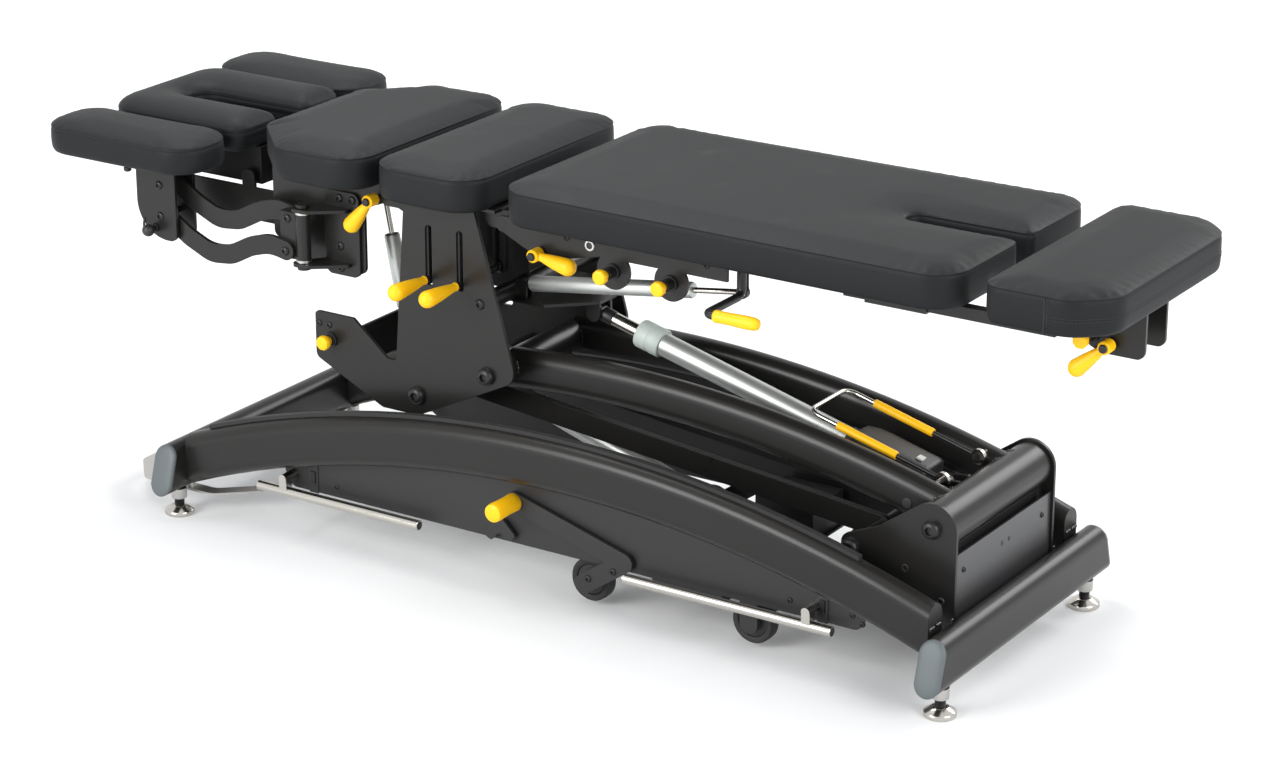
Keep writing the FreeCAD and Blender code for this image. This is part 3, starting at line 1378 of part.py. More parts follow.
def leg_section():
    """Hinged leg frame with lobed side plates, release handle, crank and sleeves for the leaf."""
    eye = d.column_top_z - d.hinge_z
    half_lobe = math.sqrt(d.leg_lobe_radius ** 2 - (d.leg_plate_neck_z - d.leg_lobe_z) ** 2)
    lobe_low = d.leg_lobe_z - d.leg_lobe_radius
    neck = d.leg_plate_neck_z
    outline = [
        (d.leg_hinge_x, d.hinge_z - eye),
        Via(d.leg_hinge_x - eye, d.hinge_z),
        (d.leg_hinge_x, d.hinge_z + eye),
        (d.leg_plate_rear_x, d.column_top_z),
        (d.leg_plate_rear_x, neck),
        (d.leg_lobe_b_x + half_lobe, neck),
        Via(d.leg_lobe_b_x, lobe_low),
        (d.leg_lobe_b_x - half_lobe, neck),
        (d.leg_lobe_a_x + half_lobe, neck),
        Via(d.leg_lobe_a_x, lobe_low),
        (d.leg_lobe_a_x - half_lobe, neck),
        (d.leg_handle_x, d.leg_handle_z - eye, eye),
    ]
    bore = d.small_pin_radius + d.running_gap
    holes = [
        (d.leg_hinge_x, d.hinge_z, d.pin_radius + d.running_gap),
        (d.leg_lobe_a_x, d.leg_lobe_z, bore),
        (d.leg_lobe_b_x, d.leg_lobe_z, bore),
    ]
    side = plate("leg_side", "XZ_Plane", [outline], "plate_thick", -d.leg_plate_y, holes)
    face = -d.leg_plate_y - d.plate_thick
    half = d.leg_plate_y + d.plate_thick
    notch_x = d.main_slot_x - d.slot_margin
    notch_half = d.main_slot_half + d.slot_margin
    front = d.main_pad_front_x + d.pad_edge
    shape = [
        (front, -half),
        (d.leg_top_rear_x, -half),
        (d.leg_top_rear_x, -notch_half),
        (notch_x, -notch_half),
        (notch_x, notch_half),
        (d.leg_top_rear_x, notch_half),
        (d.leg_top_rear_x, half),
        (front, half),
    ]
    crank_hole = (d.crank_x, -d.crank_y, d.crank_rod_radius + d.running_gap)
    top = plate("leg_top", "XY_Plane", [shape], "plate_thick", d.column_top_z, [crank_hole])
    pieces = pair(side) + [top]

    run = ("guide_front_x", "guide_front_x + guide_length")
    margin = "slide_bar / 2 + running_gap"
    outer_y = (f"-slide_bar_y - {margin} - guide_wall", f"-slide_bar_y + {margin} + guide_wall")
    outer_z = ("column_top_z - slide_bar - 2 * running_gap - 2 * guide_wall", "column_top_z")
    sleeve = block("guide_sleeve", run, outer_y, outer_z)
    inner_y = ("-slide_bar_y - slide_bar / 2 - running_gap", f"-slide_bar_y + {margin}")
    inner_z = ("column_top_z - slide_bar - 2 * running_gap - guide_wall", "column_top_z - guide_wall")
    passage = block("guide_passage", ("guide_front_x - overrun", "guide_front_x + guide_length + overrun"),
                    inner_y, inner_z)
    pieces += pair(cut("guide", sleeve, [passage]))
    spot = (d.leg_gas_end_x, d.leg_gas_end_z)
    pieces += clevis("leg_tip_lug", -d.leg_gas_y, spot, (d.leg_gas_end_x, d.column_top_z),
                     d.gas_eye_radius / 2, "gas_eye_width", "small_pin_radius", "sheet_thick")
    pieces.append(handle_pin("leg_handle_pin", d.leg_handle_x, face, d.leg_handle_z, "sheet_thick"))
    for name, x in (("a", d.leg_lobe_a_x), ("b", d.leg_lobe_b_x)):
        pieces.append(plunger_barrel("leg_barrel_" + name, x, face, d.leg_lobe_z, d.knob_barrel_length))
        plunger("leg_plunger_" + name, x, face, d.leg_lobe_z, d.knob_barrel_length)
    node("leg_frame", fused("leg_frame", pieces))
    drop_handle("leg_handle", d.leg_handle_x, face, d.leg_handle_z, d.sheet_thick,
                down_and(1, d.leg_handle_tilt))
    gas_spring("leg_gas", -d.leg_gas_y, (d.leg_gas_x, d.leg_gas_z), spot, d.leg_gas_tube)

    radius = d.crank_rod_radius
    high = d.column_top_z + d.plate_thick - d.seat_gap
    end_y = -d.crank_y - d.crank_reach
    route = [
        (d.crank_x, -d.crank_y, high),
        (d.crank_x, -d.crank_y, d.crank_low_z),
        (d.crank_x, end_y, d.crank_low_z),
        (d.crank_x + d.crank_elbow, end_y, d.crank_low_z),
    ]
    bar = bent_rod("crank_bar", radius, route, 2 * radius)
    end = vector(*route[-1])
    outline = [(0, 0), (d.grip_radius, 0), (d.grip_radius, d.crank_grip_length), (0, d.crank_grip_length)]
    grip = turned("crank_grip", outline, along(end, end + vector(1, 0, 0)))
    node("leg_crank", grouped("leg_crank", [bar, grip]))


def leaf_section():
    """Foot leaf on two square bars that slide in the leg frame."""
    bar_top = "column_top_z - guide_wall - running_gap"
    bar_y = ("-slide_bar_y - slide_bar / 2", "-slide_bar_y + slide_bar / 2")
    bar = block("slide_bar", ("slide_bar_front_x", "leaf_knob_x"), bar_y, (bar_top + " - slide_bar", bar_top))
    pad_start = "leaf_pad_front_x + pad_edge"
    riser = block("slide_riser", (pad_start, "leaf_knob_x"), bar_y, (bar_top, "column_top_z"))
    half = "leg_plate_y"
    deck = block("leaf_deck", (pad_start, "leaf_pad_rear_x - pad_edge - pad_draw"), ("-" + half, half),
                 ("column_top_z", "column_top_z + plate_thick"))
    corner = d.column_corner
    front = d.leaf_knob_x - d.leaf_bracket_lead
    rear = d.leaf_bracket_x + d.leaf_bracket_length
    outline = [
        (front, d.column_top_z),
        (front, d.leaf_knob_z - d.knob_barrel_radius, d.knob_barrel_radius),
        (d.leaf_bracket_x, d.leaf_bracket_low_z, corner),
        (rear, d.leaf_bracket_low_z, corner),
        (rear, d.column_top_z),
    ]
    holes = [(d.leaf_knob_x, d.leaf_knob_z, d.small_pin_radius + d.running_gap)]
    face = -d.leaf_bracket_half
    cheek = plate("leaf_cheek", "XZ_Plane", [outline], "plate_thick", face + d.plate_thick, holes)
    barrel = plunger_barrel("leaf_barrel", d.leaf_knob_x, face, d.leaf_knob_z, d.knob_barrel_length)
    pin = handle_pin("leaf_lever_pin", d.leaf_lever_x, face, d.leaf_lever_z, "sheet_thick")
    pieces = pair(bar) + pair(riser) + [deck] + pair(cheek) + [barrel, pin]
    node("leaf_frame", fused("leaf_frame", pieces))
    plunger("leaf_plunger", d.leaf_knob_x, face, d.leaf_knob_z, d.knob_barrel_length)
    drop_handle("leaf_lever", d.leaf_lever_x, face, d.leaf_lever_z, d.sheet_thick,
                down_and(-1, d.leaf_lever_tilt))


def pads():
    """Outlines of the padded sections, counterclockwise from above."""
    corner = d.pad_corner
    shape = rectangle(d.mid_pad_front_x, -d.mid_pad_half, d.mid_pad_rear_x, d.mid_pad_half, corner)
    node("mid_pad", cushion("mid_pad", shape, d.pad_base_z, d.pad_thick))

    slot = d.main_slot_half
    near = [
        (d.main_pad_front_x, -d.main_pad_front_half, corner),
        (d.main_pad_rear_x, -d.main_pad_rear_half, corner),
        (d.main_pad_rear_x, -slot, slot / 2),
        (d.main_slot_x, -slot, slot - d.side_gap),
    ]
    shape = near + [(x, -y, radius) for x, y, radius in near[::-1]]
    node("leg_pad", cushion("leg_pad", shape, d.pad_base_z, d.pad_thick))

    nose = d.chest_pad_nose_half
    near = [
        (d.chest_pad_front_x, -nose, d.chest_pad_nose_corner),
        (d.chest_pad_shoulder_x, -d.chest_pad_half, corner),
        (d.chest_pad_rear_x, -d.chest_pad_half, corner),
    ]
    shape = near + [(x, -y, radius) for x, y, radius in near[::-1]]
    node("chest_pad", cushion("chest_pad", shape, d.pad_base_z, d.pad_thick))

    slot = d.head_slot_half
    near = [
        (d.head_pad_front_x, -d.head_pad_half, corner),
        (d.head_pad_rear_x, -d.head_pad_half, corner / 2),
        (d.head_pad_rear_x, -slot, slot / 2),
        (d.head_slot_x, -slot, slot - d.side_gap),
    ]
    shape = near + [(x, -y, radius) for x, y, radius in near[::-1]]
    node("head_pad", cushion("head_pad", shape, d.pad_base_z, d.head_pad_thick))

    bevel = d.leaf_pad_bevel
    near = [
        (d.leaf_pad_front_x, -d.leaf_pad_half, corner / 2),
        (d.leaf_pad_rear_x - bevel, -d.leaf_pad_half, corner),
        (d.leaf_pad_rear_x, -d.leaf_pad_half + bevel, corner),
    ]
    shape = near + [(x, -y, radius) for x, y, radius in near[::-1]]
    node("leaf_pad", cushion("leaf_pad", shape, d.pad_base_z, d.pad_thick))


def foot_bar(name, shaft_x, start, stop):
    """Long foot bars on both sides, joined by a shaft through the panels."""
    bar = rod(name + "_bar", "foot_bar_radius", f"{stop} - {start}",
              (getattr(d, start), -d.foot_bar_y, d.foot_bar_z), (1, 0, 0))
    width = "bar_arm_width / 2"
    arm = block(name + "_arm", (f"{shaft_x} - {width}", f"{shaft_x} + {width}"),
                (f"-foot_bar_y - {width}", f"-foot_bar_y + {width}"), ("foot_bar_z", "bar_shaft_z"))
    shaft = across(name + "_shaft", "bar_shaft_radius", getattr(d, shaft_x), d.bar_shaft_z,
                   "foot_bar_y + foot_bar_radius")
    node(name, fused(name, pair(bar) + pair(arm) + [shaft]))


def wheels():
    """Wheel lever with grips, its axle and wheels, and the hooked latches beside the grips."""
    pivot = (d.pedal_pivot_x, d.pedal_pivot_z)
    grip_spot = (d.pedal_grip_x, d.pedal_grip_z)
    wheel_spot = (d.wheel_x, d.wheel_z)
    half = d.hanger_width / 2
    arm = plate("pedal_arm", "XZ_Plane", [bar_outline(grip_spot, pivot, half)], "pedal_plate_thick",
                -d.pedal_plate_y)
    web = plate("pedal_web", "XZ_Plane", [bar_outline(pivot, wheel_spot, half)], "pedal_plate_thick",
                -d.pedal_plate_y)
    outer = d.pedal_plate_y + d.pedal_plate_thick
    stub_length = "pedal_plate_y + pedal_plate_thick - panel_inner_y + sheet_thick"
    stub = rod("pedal_stub", "pedal_shaft_radius", stub_length, (pivot[0], -outer, pivot[1]), (0, 1, 0))
    axle = across("pedal_axle", "axle_radius", *wheel_spot, "pedal_plate_y + pedal_plate_thick")
    start = (grip_spot[0], -outer, grip_spot[1])
    grip = rod("pedal_grip", "pedal_grip_radius", "pedal_grip_length", start, (0, -1, 0))
    node("wheel_pedals", fused("wheel_pedals", pair(arm) + pair(web) + pair(stub) + pair(grip) + [axle]))

    bore = d.axle_radius + d.running_gap
    for name, x in (("front_wheels", d.wheel_x), ("rear_wheels", d.rear_wheel_x)):
        wheel = ring(name + "_wheel", d.wheel_radius, bore, -d.wheel_inner_y - d.wheel_width, d.wheel_width,
                     crosswise(x, d.wheel_z))
        node(name, grouped(name, pair(wheel)))

    size = d.latch_size
    outline = [(d.latch_x + size * u, d.latch_z + size * v, size * r) for u, v, r in LATCH_SHARES]
    hook = plate("latch_hook", "XZ_Plane", [outline], "pedal_plate_thick", -d.pedal_plate_y)
    stub_length = "pedal_plate_y + pedal_plate_thick - panel_inner_y + sheet_thick"
    pin = rod("latch_pin", "small_pin_radius", stub_length, (d.latch_x, -outer, d.latch_z), (0, 1, 0))
    latch = fused("latch", [hook, pin])
    node("pedal_latches", grouped("pedal_latches", pair(latch)))


LATCH_SHARES = (
    (-0.5, 0.2, 0.2),
    (-0.62, -0.3, 0.3),
    (-0.85, -0.85, 0.12),
    (-0.45, -1.0, 0.12),
    (0, -0.45, 0.25),
    (0.7, -0.85, 0.12),
    (1.0, -0.5, 0.12),
    (0.3, 0.2, 0.2),
)

base_frame()
chassis()
pivot_brackets()
lift_arms()
lower_links()
column()
lock_lever("lock_lever_a", d.slot_front_x)
lock_lever("lock_lever_b", d.slot_rear_x)
actuators()
chest_section()
armrest()
leg_section()
leaf_section()
pads()
foot_bar("foot_bars_front", "front_bar_shaft_x", "front_bar_start_x", "front_bar_end_x")
foot_bar("foot_bars_rear", "rear_bar_shaft_x", "rear_bar_start_x", "rear_bar_end_x")
wheels()
doc.recompute()

for part in doc.Objects:
    if "Invalid" in part.State or "Error" in part.State:
        raise RuntimeError(f"{part.Name} did not build: {part.State}")
os.makedirs("parts", exist_ok=True)
for name, part in nodes.items():
    if part.Shape.isNull() or not part.Shape.isValid():
        raise RuntimeError(f"{name} has no sound shape")
    part.Shape.exportStep(f"parts/{name}.step")
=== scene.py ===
"""Dressed model of a mobilisation table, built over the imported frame, in metres."""
import logging
import math
from dataclasses import dataclass, field
from enum import Enum
from typing import Callable, Iterable, Sequence

import bpy
import numpy as np
from mathutils import Matrix, Vector
from mathutils.geometry import delaunay_2d_cdt


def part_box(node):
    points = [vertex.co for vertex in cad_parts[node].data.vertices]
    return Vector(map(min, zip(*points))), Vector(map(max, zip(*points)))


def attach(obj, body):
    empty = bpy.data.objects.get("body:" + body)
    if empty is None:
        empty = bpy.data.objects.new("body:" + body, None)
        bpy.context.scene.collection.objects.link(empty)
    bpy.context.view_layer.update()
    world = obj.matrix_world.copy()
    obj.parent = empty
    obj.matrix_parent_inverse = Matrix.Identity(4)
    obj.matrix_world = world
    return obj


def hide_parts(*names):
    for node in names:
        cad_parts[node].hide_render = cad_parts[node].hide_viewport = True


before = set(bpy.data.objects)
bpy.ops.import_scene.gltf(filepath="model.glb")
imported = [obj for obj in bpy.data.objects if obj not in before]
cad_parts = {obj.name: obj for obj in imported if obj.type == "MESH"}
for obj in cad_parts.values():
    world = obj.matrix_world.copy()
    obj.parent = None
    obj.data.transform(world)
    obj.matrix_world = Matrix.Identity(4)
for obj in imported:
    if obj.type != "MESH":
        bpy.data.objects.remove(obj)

LOG = logging.getLogger("mobilisation_table")
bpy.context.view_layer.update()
MM = 0.001
LEAST_RADIUS = 0.02
Spot = tuple[float, float]
Spots = tuple[Spot, ...]
Point = tuple[float, float, float]
NEAR, FAR = Vector((0, -1, 0)), Vector((0, 1, 0))
FOOTWARD = Vector((1, 0, 0))
UP, DOWN = Vector((0, 0, 1)), Vector((0, 0, -1))
SIDES = ((-1, NEAR), (1, FAR))
QUARTER_TURN = [math.radians(angle) for angle in range(15, 91, 15)]


def mm(x: float, y: float, z: float) -> Vector:
    """Point given in millimetres, as a vector in metres."""
    return Vector((x * MM, y * MM, z * MM))


def aim(origin: Vector, direction: Vector) -> Matrix:
    """Frame at a point whose local Z axis looks along a direction.

    Args:
        origin: place of the frame.
        direction: way the local Z axis points.

    Returns:
        The frame as a matrix.
    """
    turn = direction.normalized().to_track_quat("Z", "Y").to_matrix().to_4x4()
    return Matrix.Translation(origin) @ turn


def around(count: int) -> list[float]:
    """Angles of evenly spaced points round a circle."""
    return [2 * math.pi * index / count for index in range(count)]


def block(half: float, top: float, bottom: float | None = None) -> list[Spot]:
    """Rectangle about a middle line, counterclockwise, in millimetres.

    Args:
        half: half of its width.
        top: its upper end.
        bottom: its lower end, as far down as the top is up if not given.

    Returns:
        The four corners.
    """
    low = -top if bottom is None else bottom
    return [(-half, low), (half, low), (half, top), (-half, top)]


class NodeKit:
    """Adds and links the nodes of one node tree."""

    def __init__(self, tree: bpy.types.NodeTree) -> None:
        """Keep the tree that the nodes go into."""
        self.tree = tree

    def add(self, kind: str, **values: object) -> bpy.types.Node:
        """Add a node and set its properties and unlinked inputs.

        Args:
            kind: type name of the node, without its ShaderNode prefix.
            values: properties by name; a name that is no property is an input.

        Returns:
            The new node.
        """
        node = self.tree.nodes.new("ShaderNode" + kind)
        for name, value in values.items():
            if hasattr(node, name):
                setattr(node, name, value)
            else:
                node.inputs[name.replace("_", " ")].default_value = value
        return node

    def join(self, source: bpy.types.NodeSocket, target: bpy.types.NodeSocket) -> None:
        """Link an output to an input."""
        self.tree.links.new(source, target)

    def maths(self, operation: str, first: object, second: object) -> bpy.types.NodeSocket:
        """Join two values or sockets by an arithmetic node.

        Args:
            operation: name of the operation.
            first: socket or number.
            second: socket or number.

        Returns:
            The result's socket.
        """
        node = self.add("Math", operation=operation)
        for slot, item in zip(node.inputs, (first, second)):
            if isinstance(item, bpy.types.NodeSocket):
                self.join(item, slot)
            else:
                slot.default_value = item
        return node.outputs[0]

    def blend(self, factor: bpy.types.NodeSocket, first: object, second: object) -> bpy.types.NodeSocket:
        """Mix two colours by a factor.

        Args:
            factor: socket that gives the share of the second colour.
            first: socket or colour.
            second: socket or colour.

        Returns:
            The mixed colour's socket.
        """
        node = self.add("Mix", data_type="RGBA")
        self.join(factor, node.inputs[0])
        for slot, item in ((node.inputs[6], first), (node.inputs[7], second)):
            if isinstance(item, bpy.types.NodeSocket):
                self.join(item, slot)
            else:
                slot.default_value = (*item[:3], 1.0)
        return node.outputs[2]


class Effect(Enum):
    """Surface effects that several finishes share, each a node group."""

    SPECKLE = "coat_speckle"
    GRAIN = "upholstery_grain"
    DRAWN = "drawn_lines"
    RUBBED = "rubbed_patches"
    DUST = "settled_dust"


class EffectShelf:
    """Builds each shared node group once."""

    def __init__(self) -> None:
        """Start with no group built."""
        self.trees: dict[Effect, bpy.types.NodeTree] = {}

    def tree(self, effect: Effect) -> bpy.types.NodeTree:
        """Group of an effect, built on first use."""
        if effect not in self.trees:
            build = {
                Effect.SPECKLE: self.speckle,
                Effect.GRAIN: self.grain,
                Effect.DRAWN: self.drawn,
                Effect.RUBBED: self.rubbed,
                Effect.DUST: self.dust,
            }[effect]
            self.trees[effect] = build(effect.value)
        return self.trees[effect]

    @staticmethod
    def shell(name: str, inputs: Sequence[str], outputs: Sequence[str]) -> tuple[NodeKit, dict, dict]:
        """Empty group with number sockets.

        Args:
            name: name of the group.
            inputs: names of its inputs.
            outputs: names of its outputs.

        Returns:
            The node kit of the group, its input sockets and its output sockets by name.
        """
        tree = bpy.data.node_groups.new(name, "ShaderNodeTree")
        for label in inputs:
            tree.interface.new_socket(name=label, in_out="INPUT", socket_type="NodeSocketFloat")
        for label in outputs:
            tree.interface.new_socket(name=label, in_out="OUTPUT", socket_type="NodeSocketFloat")
        entry = tree.nodes.new("NodeGroupInput")
        leave = tree.nodes.new("NodeGroupOutput")
        return NodeKit(tree), {s.name: s for s in entry.outputs}, {s.name: s for s in leave.inputs}

    def speckle(self, name: str) -> bpy.types.NodeTree:
        """Fine orange-peel of a powder coat or a moulded skin."""
        kit, entry, leave = self.shell(name, ("Scale",), ("Shade", "Height"))
        place = kit.add("TexCoord").outputs["Object"]
        fine = kit.add("TexNoise", Detail=3.0, Roughness=0.55)
        broad = kit.add("TexNoise", Scale=9.0, Detail=3.0, Roughness=0.5)
        kit.join(place, fine.inputs["Vector"])
        kit.join(place, broad.inputs["Vector"])
        kit.join(entry["Scale"], fine.inputs["Scale"])
        fine_part = kit.maths("MULTIPLY", fine.outputs["Fac"], 0.45)
        broad_part = kit.maths("MULTIPLY", broad.outputs["Fac"], 0.55)
        kit.join(kit.maths("ADD", fine_part, broad_part), leave["Shade"])
        kit.join(fine.outputs["Fac"], leave["Height"])
        return kit.tree

    def grain(self, name: str) -> bpy.types.NodeTree:
        """Pebbled grain of coated upholstery, with soft broad variation."""
        kit, entry, leave = self.shell(name, ("Scale",), ("Shade", "Height"))
        place = kit.add("TexCoord").outputs["Object"]
        cells = kit.add("TexVoronoi", feature="DISTANCE_TO_EDGE", Randomness=1.0)
        kit.join(place, cells.inputs["Vector"])
        kit.join(entry["Scale"], cells.inputs["Scale"])
        pebble = kit.add("MapRange", From_Min=0.0, From_Max=0.16, To_Min=0.0, To_Max=1.0)
        kit.join(cells.outputs["Distance"], pebble.inputs["Value"])
        broad = kit.add("TexNoise", Scale=6.0, Detail=4.0, Roughness=0.6)
        kit.join(place, broad.inputs["Vector"])
        crease = kit.add("TexNoise", Scale=70.0, Detail=3.0, Roughness=0.6)
        kit.join(place, crease.inputs["Vector"])
        creased = kit.maths("MULTIPLY", crease.outputs["Fac"], 0.8)
        raised = kit.maths("MULTIPLY", pebble.outputs[0], 0.6)
        kit.join(kit.maths("ADD", raised, creased), leave["Height"])
        soft = kit.maths("MULTIPLY", broad.outputs["Fac"], 0.75)
        spotted = kit.maths("MULTIPLY", pebble.outputs[0], 0.25)
        kit.join(kit.maths("ADD", soft, spotted), leave["Shade"])
        return kit.tree

    def drawn(self, name: str) -> bpy.types.NodeTree:
        """Fine lines of a drawn tube or brushed bar, along X."""
        kit, entry, leave = self.shell(name, ("Scale",), ("Shade", "Height"))
        place = kit.add("TexCoord").outputs["Object"]
        stretch = kit.add("Mapping")
        stretch.inputs["Scale"].default_value = (0.03, 1.0, 1.0)
        kit.join(place, stretch.inputs["Vector"])
        lines = kit.add("TexNoise", Detail=2.0, Roughness=0.6)
        kit.join(stretch.outputs[0], lines.inputs["Vector"])
        kit.join(entry["Scale"], lines.inputs["Scale"])
        kit.join(lines.outputs["Fac"], leave["Shade"])
        kit.join(lines.outputs["Fac"], leave["Height"])
        return kit.tree

    def rubbed(self, name: str) -> bpy.types.NodeTree:
        """Patches that hands and cloths have polished."""
        kit, entry, leave = self.shell(name, ("Scale", "Cover"), ("Mask",))
        place = kit.add("TexCoord").outputs["Object"]
        cloud = kit.add("TexNoise", Detail=7.0, Roughness=0.62)
        kit.join(place, cloud.inputs["Vector"])
        kit.join(entry["Scale"], cloud.inputs["Scale"])
        ramp = kit.add("MapRange", From_Max=0.8, To_Min=0.0, To_Max=1.0)
        kit.join(cloud.outputs["Fac"], ramp.inputs["Value"])
        threshold = kit.maths("SUBTRACT", 0.75, kit.maths("MULTIPLY", entry["Cover"], 0.4))
        kit.join(threshold, ramp.inputs["From Min"])
        kit.join(ramp.outputs[0], leave["Mask"])
        return kit.tree

    def dust(self, name: str) -> bpy.types.NodeTree:
        """Thin film on faces that look up."""
        kit, entry, leave = self.shell(name, ("Amount",), ("Mask",))
        normal = kit.add("NewGeometry").outputs["Normal"]
        split = kit.add("SeparateXYZ")
        kit.join(normal, split.inputs[0])
        up = kit.maths("POWER", kit.maths("MAXIMUM", split.outputs["Z"], 0.0), 4.0)
        place = kit.add("TexCoord").outputs["Object"]
        cloud = kit.add("TexNoise", Scale=35.0, Detail=5.0, Roughness=0.65)
        kit.join(place, cloud.inputs["Vector"])
        film = kit.maths("MULTIPLY", up, cloud.outputs["Fac"])
        kit.join(kit.maths("MULTIPLY", film, entry["Amount"]), leave["Mask"])
        return kit.tree


EFFECTS = EffectShelf()
COAT_ROUGHNESS = 0.25
WEAR_SCALE = 14.0
WEAR_POLISH = -0.1
SHADE_ROUGHNESS = 0.12
DUST_COLOUR = (0.42, 0.40, 0.37)
EDGE_SAMPLES = 4


@dataclass(frozen=True)
class Finish:
    """One surface finish, with the effects that give it life."""

    name: str
    colour: Point
    accent: Point
    roughness: float
    metallic: float = 0.0
    coat: float = 0.0
    effect: Effect = Effect.SPECKLE
    scale: float = 900.0
    depth: float = 0.00006
    strength: float = 0.3
    rubbed: float = 0.25
    dust: float = 0.04
    edge: float = 0.0
    specular: float = 0.5

    def material(self) -> bpy.types.Material:
        """Material of this finish, made on first use."""
        known = bpy.data.materials.get(self.name)
        if known is not None:
            return known
        material = bpy.data.materials.new(self.name)
        material.use_nodes = True
        kit = NodeKit(material.node_tree)
        shader = material.node_tree.nodes["Principled BSDF"]
        shader.inputs["Metallic"].default_value = self.metallic
        shader.inputs["Coat Weight"].default_value = self.coat
        shader.inputs["Coat Roughness"].default_value = COAT_ROUGHNESS
        shader.inputs["Specular IOR Level"].default_value = self.specular
        texture = self.place_group(kit, self.effect, Scale=self.scale)
        wear = self.place_group(kit, Effect.RUBBED, Scale=WEAR_SCALE, Cover=self.rubbed)
        film = self.place_group(kit, Effect.DUST, Amount=self.dust)
        body = kit.blend(texture.outputs["Shade"], self.colour, self.accent)
        kit.join(kit.blend(film.outputs["Mask"], body, DUST_COLOUR), shader.inputs["Base Color"])
        worn = kit.maths("MULTIPLY", wear.outputs["Mask"], WEAR_POLISH)
        grainy = kit.maths("MULTIPLY", texture.outputs["Shade"], SHADE_ROUGHNESS)
        rough = kit.maths("ADD", kit.maths("ADD", worn, grainy), self.roughness)
        kit.join(rough, shader.inputs["Roughness"])
        bump = kit.add("Bump", Strength=self.strength, Distance=self.depth)
        kit.join(texture.outputs["Height"], bump.inputs["Height"])
        if self.edge > 0:
            soft = kit.add("Bevel", samples=EDGE_SAMPLES, Radius=self.edge)
            kit.join(soft.outputs[0], bump.inputs["Normal"])
        kit.join(bump.outputs[0], shader.inputs["Normal"])
        return material

    @staticmethod
    def place_group(kit: NodeKit, effect: Effect, **values: float) -> bpy.types.Node:
        """Put a shared effect into a material.

        Args:
            kit: node kit of the material.
            effect: effect to place.
            values: numbers for its inputs.

        Returns:
            The group node.
        """
        node = kit.add("Group", node_tree=EFFECTS.tree(effect))
        for name, value in values.items():
            node.inputs[name].default_value = value
        return node


FRAME_PAINT = Finish("graphite_powder_coat", (0.0115, 0.0108, 0.0102), (0.0165, 0.0156, 0.0148), 0.26, 0.05,
                     coat=0.08, scale=1400.0, depth=0.00004, strength=0.25, dust=0.02, edge=0.0016,
                     specular=0.27)
WELD = Finish("painted_weld_bead", (0.020, 0.020, 0.021), (0.034, 0.034, 0.035), 0.14, 0.3,
              coat=0.6, scale=700.0, depth=0.0002, strength=0.4, dust=0.0)
PANEL_PAINT = Finish("dark_sheet_paint", (0.011, 0.011, 0.0118), (0.016, 0.016, 0.0168), 0.40, 0.05,
                     scale=1200.0, depth=0.00004, strength=0.25, dust=0.04, edge=0.001)
COVER_PAINT = Finish("satin_cover_paint", (0.040, 0.040, 0.042), (0.052, 0.052, 0.054), 0.28, 0.35,
                     coat=0.25, scale=1300.0, depth=0.00004, strength=0.25, dust=0.02, edge=0.0012)
VINYL = Finish("slate_upholstery", (0.0082, 0.0091, 0.0099), (0.0130, 0.0140, 0.0149), 0.47,
               effect=Effect.GRAIN, scale=850.0, depth=0.00016, strength=0.35, rubbed=0.4, dust=0.008,
               specular=0.15)
THREAD = Finish("seam_thread", (0.012, 0.013, 0.014), (0.022, 0.023, 0.025), 0.7, scale=3000.0,
                depth=0.0001, dust=0.0)
CHROME = Finish("bright_chrome", (0.50, 0.48, 0.44), (0.57, 0.55, 0.51), 0.12, 1.0, effect=Effect.DRAWN,
                scale=900.0, depth=0.000002, strength=0.03, rubbed=0.1, dust=0.02)
STEEL = Finish("brushed_flat_bar", (0.46, 0.45, 0.43), (0.56, 0.55, 0.53), 0.28, 1.0, effect=Effect.DRAWN,
               scale=1400.0, depth=0.00001, strength=0.1)
SILVER = Finish("satin_silver_tube", (0.54, 0.56, 0.54), (0.62, 0.64, 0.62), 0.36, 0.75, effect=Effect.DRAWN,
                scale=1100.0, depth=0.00001, strength=0.1)
PALE_PLASTIC = Finish("pale_grey_collar", (0.50, 0.56, 0.52), (0.56, 0.62, 0.58), 0.42, scale=1500.0)
WHITE_PLASTIC = Finish("pale_connector", (0.62, 0.62, 0.58), (0.70, 0.70, 0.66), 0.45, scale=1500.0)
CAP_PLASTIC = Finish("slate_end_cap", (0.080, 0.096, 0.101), (0.104, 0.122, 0.127), 0.44, scale=1600.0,
                     depth=0.00006, edge=0.002)
BLACK_PLASTIC = Finish("black_moulding", (0.010, 0.010, 0.011), (0.016, 0.016, 0.017), 0.42, scale=1500.0,
                       depth=0.00006, edge=0.0012)
BLACK_STEEL = Finish("blackened_bolt", (0.012, 0.012, 0.013), (0.022, 0.022, 0.023), 0.32, 0.4, scale=2000.0,
                     depth=0.00003)
RUBBER = Finish("black_rubber", (0.008, 0.008, 0.008), (0.014, 0.014, 0.014), 0.62, scale=700.0, depth=0.0001)
YELLOW = Finish("amber_grip", (0.96, 0.50, 0.003), (1.0, 0.56, 0.006), 0.36, scale=900.0, depth=0.00004,
                strength=0.2, rubbed=0.3, dust=0.0, specular=0.35)


